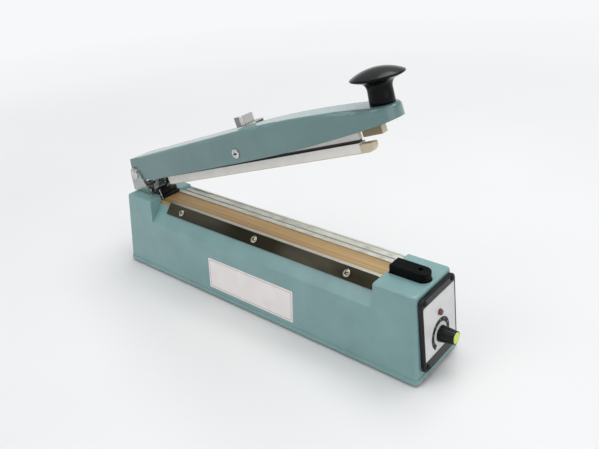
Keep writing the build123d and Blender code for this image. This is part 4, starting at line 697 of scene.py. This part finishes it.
def make_handle():
    """Mushroom knob on the arm, turned with a flared stem and a thin round rim."""
    base = Vector((140.3466, 0, 249.4361)) * mm
    normal = Vector((-0.2203, 0, 0.9754)).normalized()
    profile = [(0.1, 0.0), (10.9, 0.0), (11.2, 0.3), (11.0, 6.0), (10.8, 12.0)]
    profile += [(18.2 - 7.4 * cos(radians(a)), 12.0 + 8.3 * sin(radians(a))) for a in range(9, 90, 9)]
    profile += [(18.0, 20.25), (20.4, 21.1), (22.7, 22.1)]
    profile += arc_points((22.5, 23.2), 1.1, -75, 75, 6)
    dome_radius = (22.7**2 + 6.0**2) / 12
    profile += [
        (reach, 30.3 - dome_radius + sqrt(dome_radius**2 - reach**2))
        for reach in (22.0, 20.5, 18.5, 16.0, 13.0, 10.0, 7.0, 4.0, 2.0, 0.1)
    ]
    scaled = [(reach * mm, height * mm) for reach, height in profile]
    points, faces = lathe(base, normal, scaled, 96)
    made_piece("mushroom_knob", points, faces, "arm", gloss_black, ("handle_knob",))


def panel_point(x, y, out):
    """Place on the panel's plate, from the timer's axis."""
    return timer_place + panel_across * x + panel_up * y + panel_out * out


def make_dial():
    """Printed scale round the timer knob: black band with ticks and plain numbers."""
    inner, outer = 11.6 * mm, 16.4 * mm
    band_level, mark_level = 0.06 * mm, 0.1 * mm
    right_end, left_end = -50, 230
    sweep = left_end - right_end
    points = []
    steps = 72
    for step in range(steps + 1):
        angle = radians(right_end + sweep * step / steps)
        for reach in (inner, outer):
            points.append(panel_point(reach * cos(angle), reach * sin(angle), band_level))
    faces = grid_faces(steps + 1, 2)
    band = made_piece("dial_band", points, faces, "base", black_ink, (), False)
    thickened(band, print_thickness)
    points, faces = [], []
    marks = 9
    for mark in range(marks * 2 - 1):
        angle = radians(left_end - sweep * mark / (marks * 2 - 2))
        length = 1.3 * mm if mark % 2 == 0 else 0.8 * mm
        side = Vector((-sin(angle), cos(angle))) * 0.17 * mm
        ray = Vector((cos(angle), sin(angle)))
        start = len(points)
        for reach, turn in ((inner, -1), (inner, 1), (inner + length, 1), (inner + length, -1)):
            place = ray * reach + side * turn
            points.append(panel_point(place.x, place.y, mark_level))
        faces.append((start, start + 1, start + 2, start + 3))
    for mark in range(marks):
        angle = radians(left_end - sweep * mark / (marks - 1))
        curve = bpy.data.curves.new("numeral", "FONT")
        curve.body = str(mark)
        curve.size = 2.9 * mm
        curve.align_x = "CENTER"
        curve.align_y = "CENTER"
        holder = bpy.data.objects.new("numeral", curve)
        glyph = bpy.data.meshes.new_from_object(holder)
        start = len(points)
        reach = inner + 3.1 * mm
        for vertex in glyph.vertices:
            x, y = reach * cos(angle) + vertex.co.x, reach * sin(angle) + vertex.co.y
            points.append(panel_point(x, y, mark_level))
        faces += [tuple(start + index for index in face.vertices) for face in glyph.polygons]
        bpy.data.objects.remove(holder)
        bpy.data.curves.remove(curve)
        bpy.data.meshes.remove(glyph)
    marked = made_piece("dial_marks", points, faces, "base", white_ink, (), False)
    thickened(marked, print_thickness)


def make_pointer():
    """White line on the timer knob's cap."""
    face, half, low, high = 16.75 * mm, 0.45 * mm, 0.6 * mm, 4.6 * mm
    outline = rounded_box(-half, half, low, high, 0.4 * mm, 4)
    origin = timer_place + panel_out * face
    points, faces = prism(outline, origin, panel_across, panel_up, 0.12 * mm)
    made_piece("knob_pointer", points, faces, "timer", white_ink)


def wall_point(x, z, out):
    """Place on the drafted near wall, moved out."""
    lean = 7.4 / 89
    normal = Vector((0, -1, lean)).normalized()
    y = -(39.2 * mm - lean * (z - 3 * mm))
    return Vector((x, y, z)) + normal * out


def make_label():
    """Bare film label on the near wall, with a thin printed border."""
    left, right, low, high = -70.9 * mm, 53.1 * mm, 12 * mm, 49 * mm
    outline = rounded_box(left, right, low, high, 1.6 * mm)
    film, print_level = 0.22 * mm, 0.26 * mm
    points = [wall_point(x, z, out) for out in (0.0, film) for x, z in outline]
    faces = prism_faces(len(outline))
    made_piece("label_plate", points, faces, "base", label_film, (), False)
    inset, line = 1.9 * mm, 0.35 * mm
    rims = [
        rounded_box(left + gap, right - gap, low + gap, high - gap, 0.9 * mm)
        for gap in (inset, inset + line)
    ]
    points = [wall_point(x, z, print_level) for rim in rims for x, z in rim]
    faces = side_faces(len(rims[0]))
    border = made_piece("label_border", points, faces, "base", border_ink, (), False)
    thickened(border, print_thickness)


def make_screws():
    """Screws whose heads show a cross recess."""
    slope_out = Vector((0, -sin(slope), cos(slope)))
    clamp_x = (-124.312, -8.872, 111.896)
    clamp_seats = [(Vector((x, -20.4437, 83.9934)) * mm, slope_out) for x in clamp_x]
    panel_seats = [
        (Vector((x, y, z)) * mm, panel_out)
        for x, z in ((204.0159, 17.3333), (198.684, 85.1239))
        for y in (-25, 25)
    ]
    bracket_places = ((-209.3716, -6.5, 94), (-209.3716, 6.5, 94), (-184.8716, 0, 94))
    bracket_seats = [(Vector(place) * mm, up) for place in bracket_places]
    pivot_seats = [(bar_pivot + near * 18 * mm, near)]
    cross_screws(
        "clamp_heads", clamp_seats, 4 * mm, 2.4 * mm, (2 * mm, 10 * mm),
        "base", warm_plated, "clamp_screws", (0.3, 1.1, 0.7),
    )
    cross_screws(
        "panel_heads", panel_seats, 2.8 * mm, 1.6 * mm, (1.5 * mm, 9 * mm),
        "base", black, "panel_screws", (0.2, 0.9, 0.5, 1.3),
    )
    cross_screws(
        "bracket_heads", bracket_seats, 4.4 * mm, 2.6 * mm, (2.5 * mm, 9 * mm),
        "base", plated, "bracket_screws", (0.1, 0.8, 0.4),
    )
    cross_screws(
        "pivot_head", pivot_seats, 5 * mm, 2.2 * mm, (2.5 * mm, 35 * mm),
        "arm", plated, "pivot_screw", (0.6,),
    )


def make_lens():
    """Domed lens of the indicator lamp, on its flat base."""
    place = Vector((199.9499, 0, 62.652)) * mm
    radius, rise = 3.1 * mm, 3.6 * mm
    foot, shoulder = 0.2 * mm, 0.8 * mm
    profile = [(radius, foot), (radius, shoulder)]
    profile += [
        (radius * cos(radians(angle)), shoulder + (rise - shoulder) * sin(radians(angle)))
        for angle in range(8, 90, 8)
    ]
    profile += [(0.02 * mm, rise)]
    points, faces = lathe(place, panel_out, profile, 48)
    made_piece("lamp_dome", points, faces, "base", red_lens)


def make_trim():
    """Black insulating sheet over the left block's edge, and the ribbon's lead beside it."""
    outline = [
        (-166.45, 91.9), (-166.45, 88.55), (-165.95, 88.55), (-165.95, 92.2),
        (-166.3, 92.55), (-168.4, 92.55), (-168.4, 91.9),
    ]
    scaled = [(x * mm, z * mm) for x, z in outline]
    points, faces = prism(scaled, near * mm, Vector((1, 0, 0)), up, 14.5 * mm)
    made_piece("edge_sheet", points, faces, "base", black, (), False)
    path = [
        (-164.6, -13.4, 88.9), (-166.0, -13.3, 90.6), (-167.2, -13.2, 93.0),
        (-170.4, -12.7, 99.4), (-171.4, -11.0, 99.8),
    ]
    wire, sides = 0.45 * mm, 10
    points = []
    for place in path:
        for side in range(sides):
            angle = 2 * pi * side / sides
            points.append(Vector(place) * mm + Vector((cos(angle), sin(angle), 0)) * wire)
    faces = tube_faces(len(path), sides)
    made_piece("ribbon_lead", points, faces, "base", plated)


make_cloth()
make_silicone()
make_bumper()
make_spring("spring_near")
make_spring("spring_far")
make_handle()
make_dial()
make_pointer()
make_label()
make_lens()
make_trim()
make_screws()


# Camera, floor and light
horizon = (0.93, 0.94, 0.95)
sky = (0.40, 0.41, 0.42)


def set_camera():
    """Camera at the photo's place, with its tilt and its field of view."""
    back = Vector((
        sin(camera_yaw) * cos(camera_pitch),
        -cos(camera_yaw) * cos(camera_pitch),
        sin(camera_pitch),
    ))
    side = Vector((cos(camera_yaw), sin(camera_yaw), 0))
    top = back.cross(side)
    right = side * cos(camera_roll) + top * sin(camera_roll)
    above = top * cos(camera_roll) - side * sin(camera_roll)
    camera = bpy.data.objects.new("camera", bpy.data.cameras.new("camera"))
    camera.data.sensor_fit = "HORIZONTAL"
    camera.data.lens = focal_pixels / image_width * camera.data.sensor_width
    axes = Matrix((right, above, back)).transposed().to_4x4()
    camera.matrix_world = Matrix.Translation(camera_place) @ axes
    bpy.context.scene.collection.objects.link(camera)
    bpy.context.scene.camera = camera


def set_floor():
    """Pale floor under the part, which fades into the horizon for the rays that see it."""
    half = 3.0
    mesh = bpy.data.meshes.new("floor")
    corners = [(-half, -half, 0), (half, -half, 0), (half, half, 0), (-half, half, 0)]
    mesh.from_pydata(corners, [], [(0, 1, 2, 3)])
    floor = bpy.data.objects.new("floor", mesh)
    material, tree, surface = shader("floor", 0.75)
    set_colour(tree, surface, ramp(tree, noise(tree, 3, 4), [(0.3, 0.72), (0.7, 0.75)]))
    distance = tree.nodes.new("ShaderNodeVectorMath")
    distance.operation = "LENGTH"
    tree.links.new(coordinates(tree, (1 / half, 1 / half, 1)), distance.inputs[0])
    fade = [(0.10, 0.0), (0.18, 0.14), (0.28, 0.5), (0.40, 0.86), (0.56, 1.0)]
    far_share = ramp(tree, distance.outputs["Value"], fade)
    rays = tree.nodes.new("ShaderNodeLightPath").outputs
    seen = combined(tree, rays["Is Camera Ray"], rays["Is Glossy Ray"])
    seen = combined(tree, seen, rays["Is Transmission Ray"])
    glow = tree.nodes.new("ShaderNodeEmission")
    glow.inputs["Color"].default_value = (*horizon, 1)
    mixed = tree.nodes.new("ShaderNodeMixShader")
    tree.links.new(combined(tree, far_share, seen, "MULTIPLY"), mixed.inputs["Fac"])
    tree.links.new(surface.outputs["BSDF"], mixed.inputs[1])
    tree.links.new(glow.outputs["Emission"], mixed.inputs[2])
    tree.links.new(mixed.outputs["Shader"], tree.nodes["Material Output"].inputs["Surface"])
    mesh.materials.append(material)
    bpy.context.scene.collection.objects.link(floor)


def set_lamp(name, place, target, width, height, power):
    """Soft lamp that points at a target."""
    lamp = bpy.data.objects.new(name, bpy.data.lights.new(name, "AREA"))
    lamp.data.shape = "RECTANGLE"
    lamp.data.size = width
    lamp.data.size_y = height
    lamp.data.energy = power
    lamp.location = place
    lamp.rotation_mode = "QUATERNION"
    lamp.rotation_quaternion = (Vector(target) - Vector(place)).to_track_quat("-Z", "Y")
    bpy.context.scene.collection.objects.link(lamp)


def set_light():
    """Plain soft studio light."""
    world = bpy.data.worlds.new("world")
    bpy.context.scene.world = world
    world.use_nodes = True
    tree = world.node_tree
    source = tree.nodes.new("ShaderNodeTexCoord")
    direction = tree.nodes.new("ShaderNodeSeparateXYZ")
    tree.links.new(source.outputs["Generated"], direction.inputs["Vector"])
    tone = ramp(tree, direction.outputs["Z"], [(0.0, horizon), (0.1, horizon), (0.3, sky)])
    tree.links.new(tone, tree.nodes["Background"].inputs["Color"])
    middle = (0, 0, 0.1)
    set_lamp("key", (-0.5, -1.1, 1.5), middle, 1.2, 1.2, 8.2)
    set_lamp("top", (0.1, 0.5, 1.7), middle, 1.4, 1.4, 24)
    set_lamp("fill", (1.5, -0.2, 0.9), middle, 1.2, 1.2, 4.8)


set_camera()
set_floor()
set_light()
bpy.context.scene.view_settings.view_transform = "Standard"
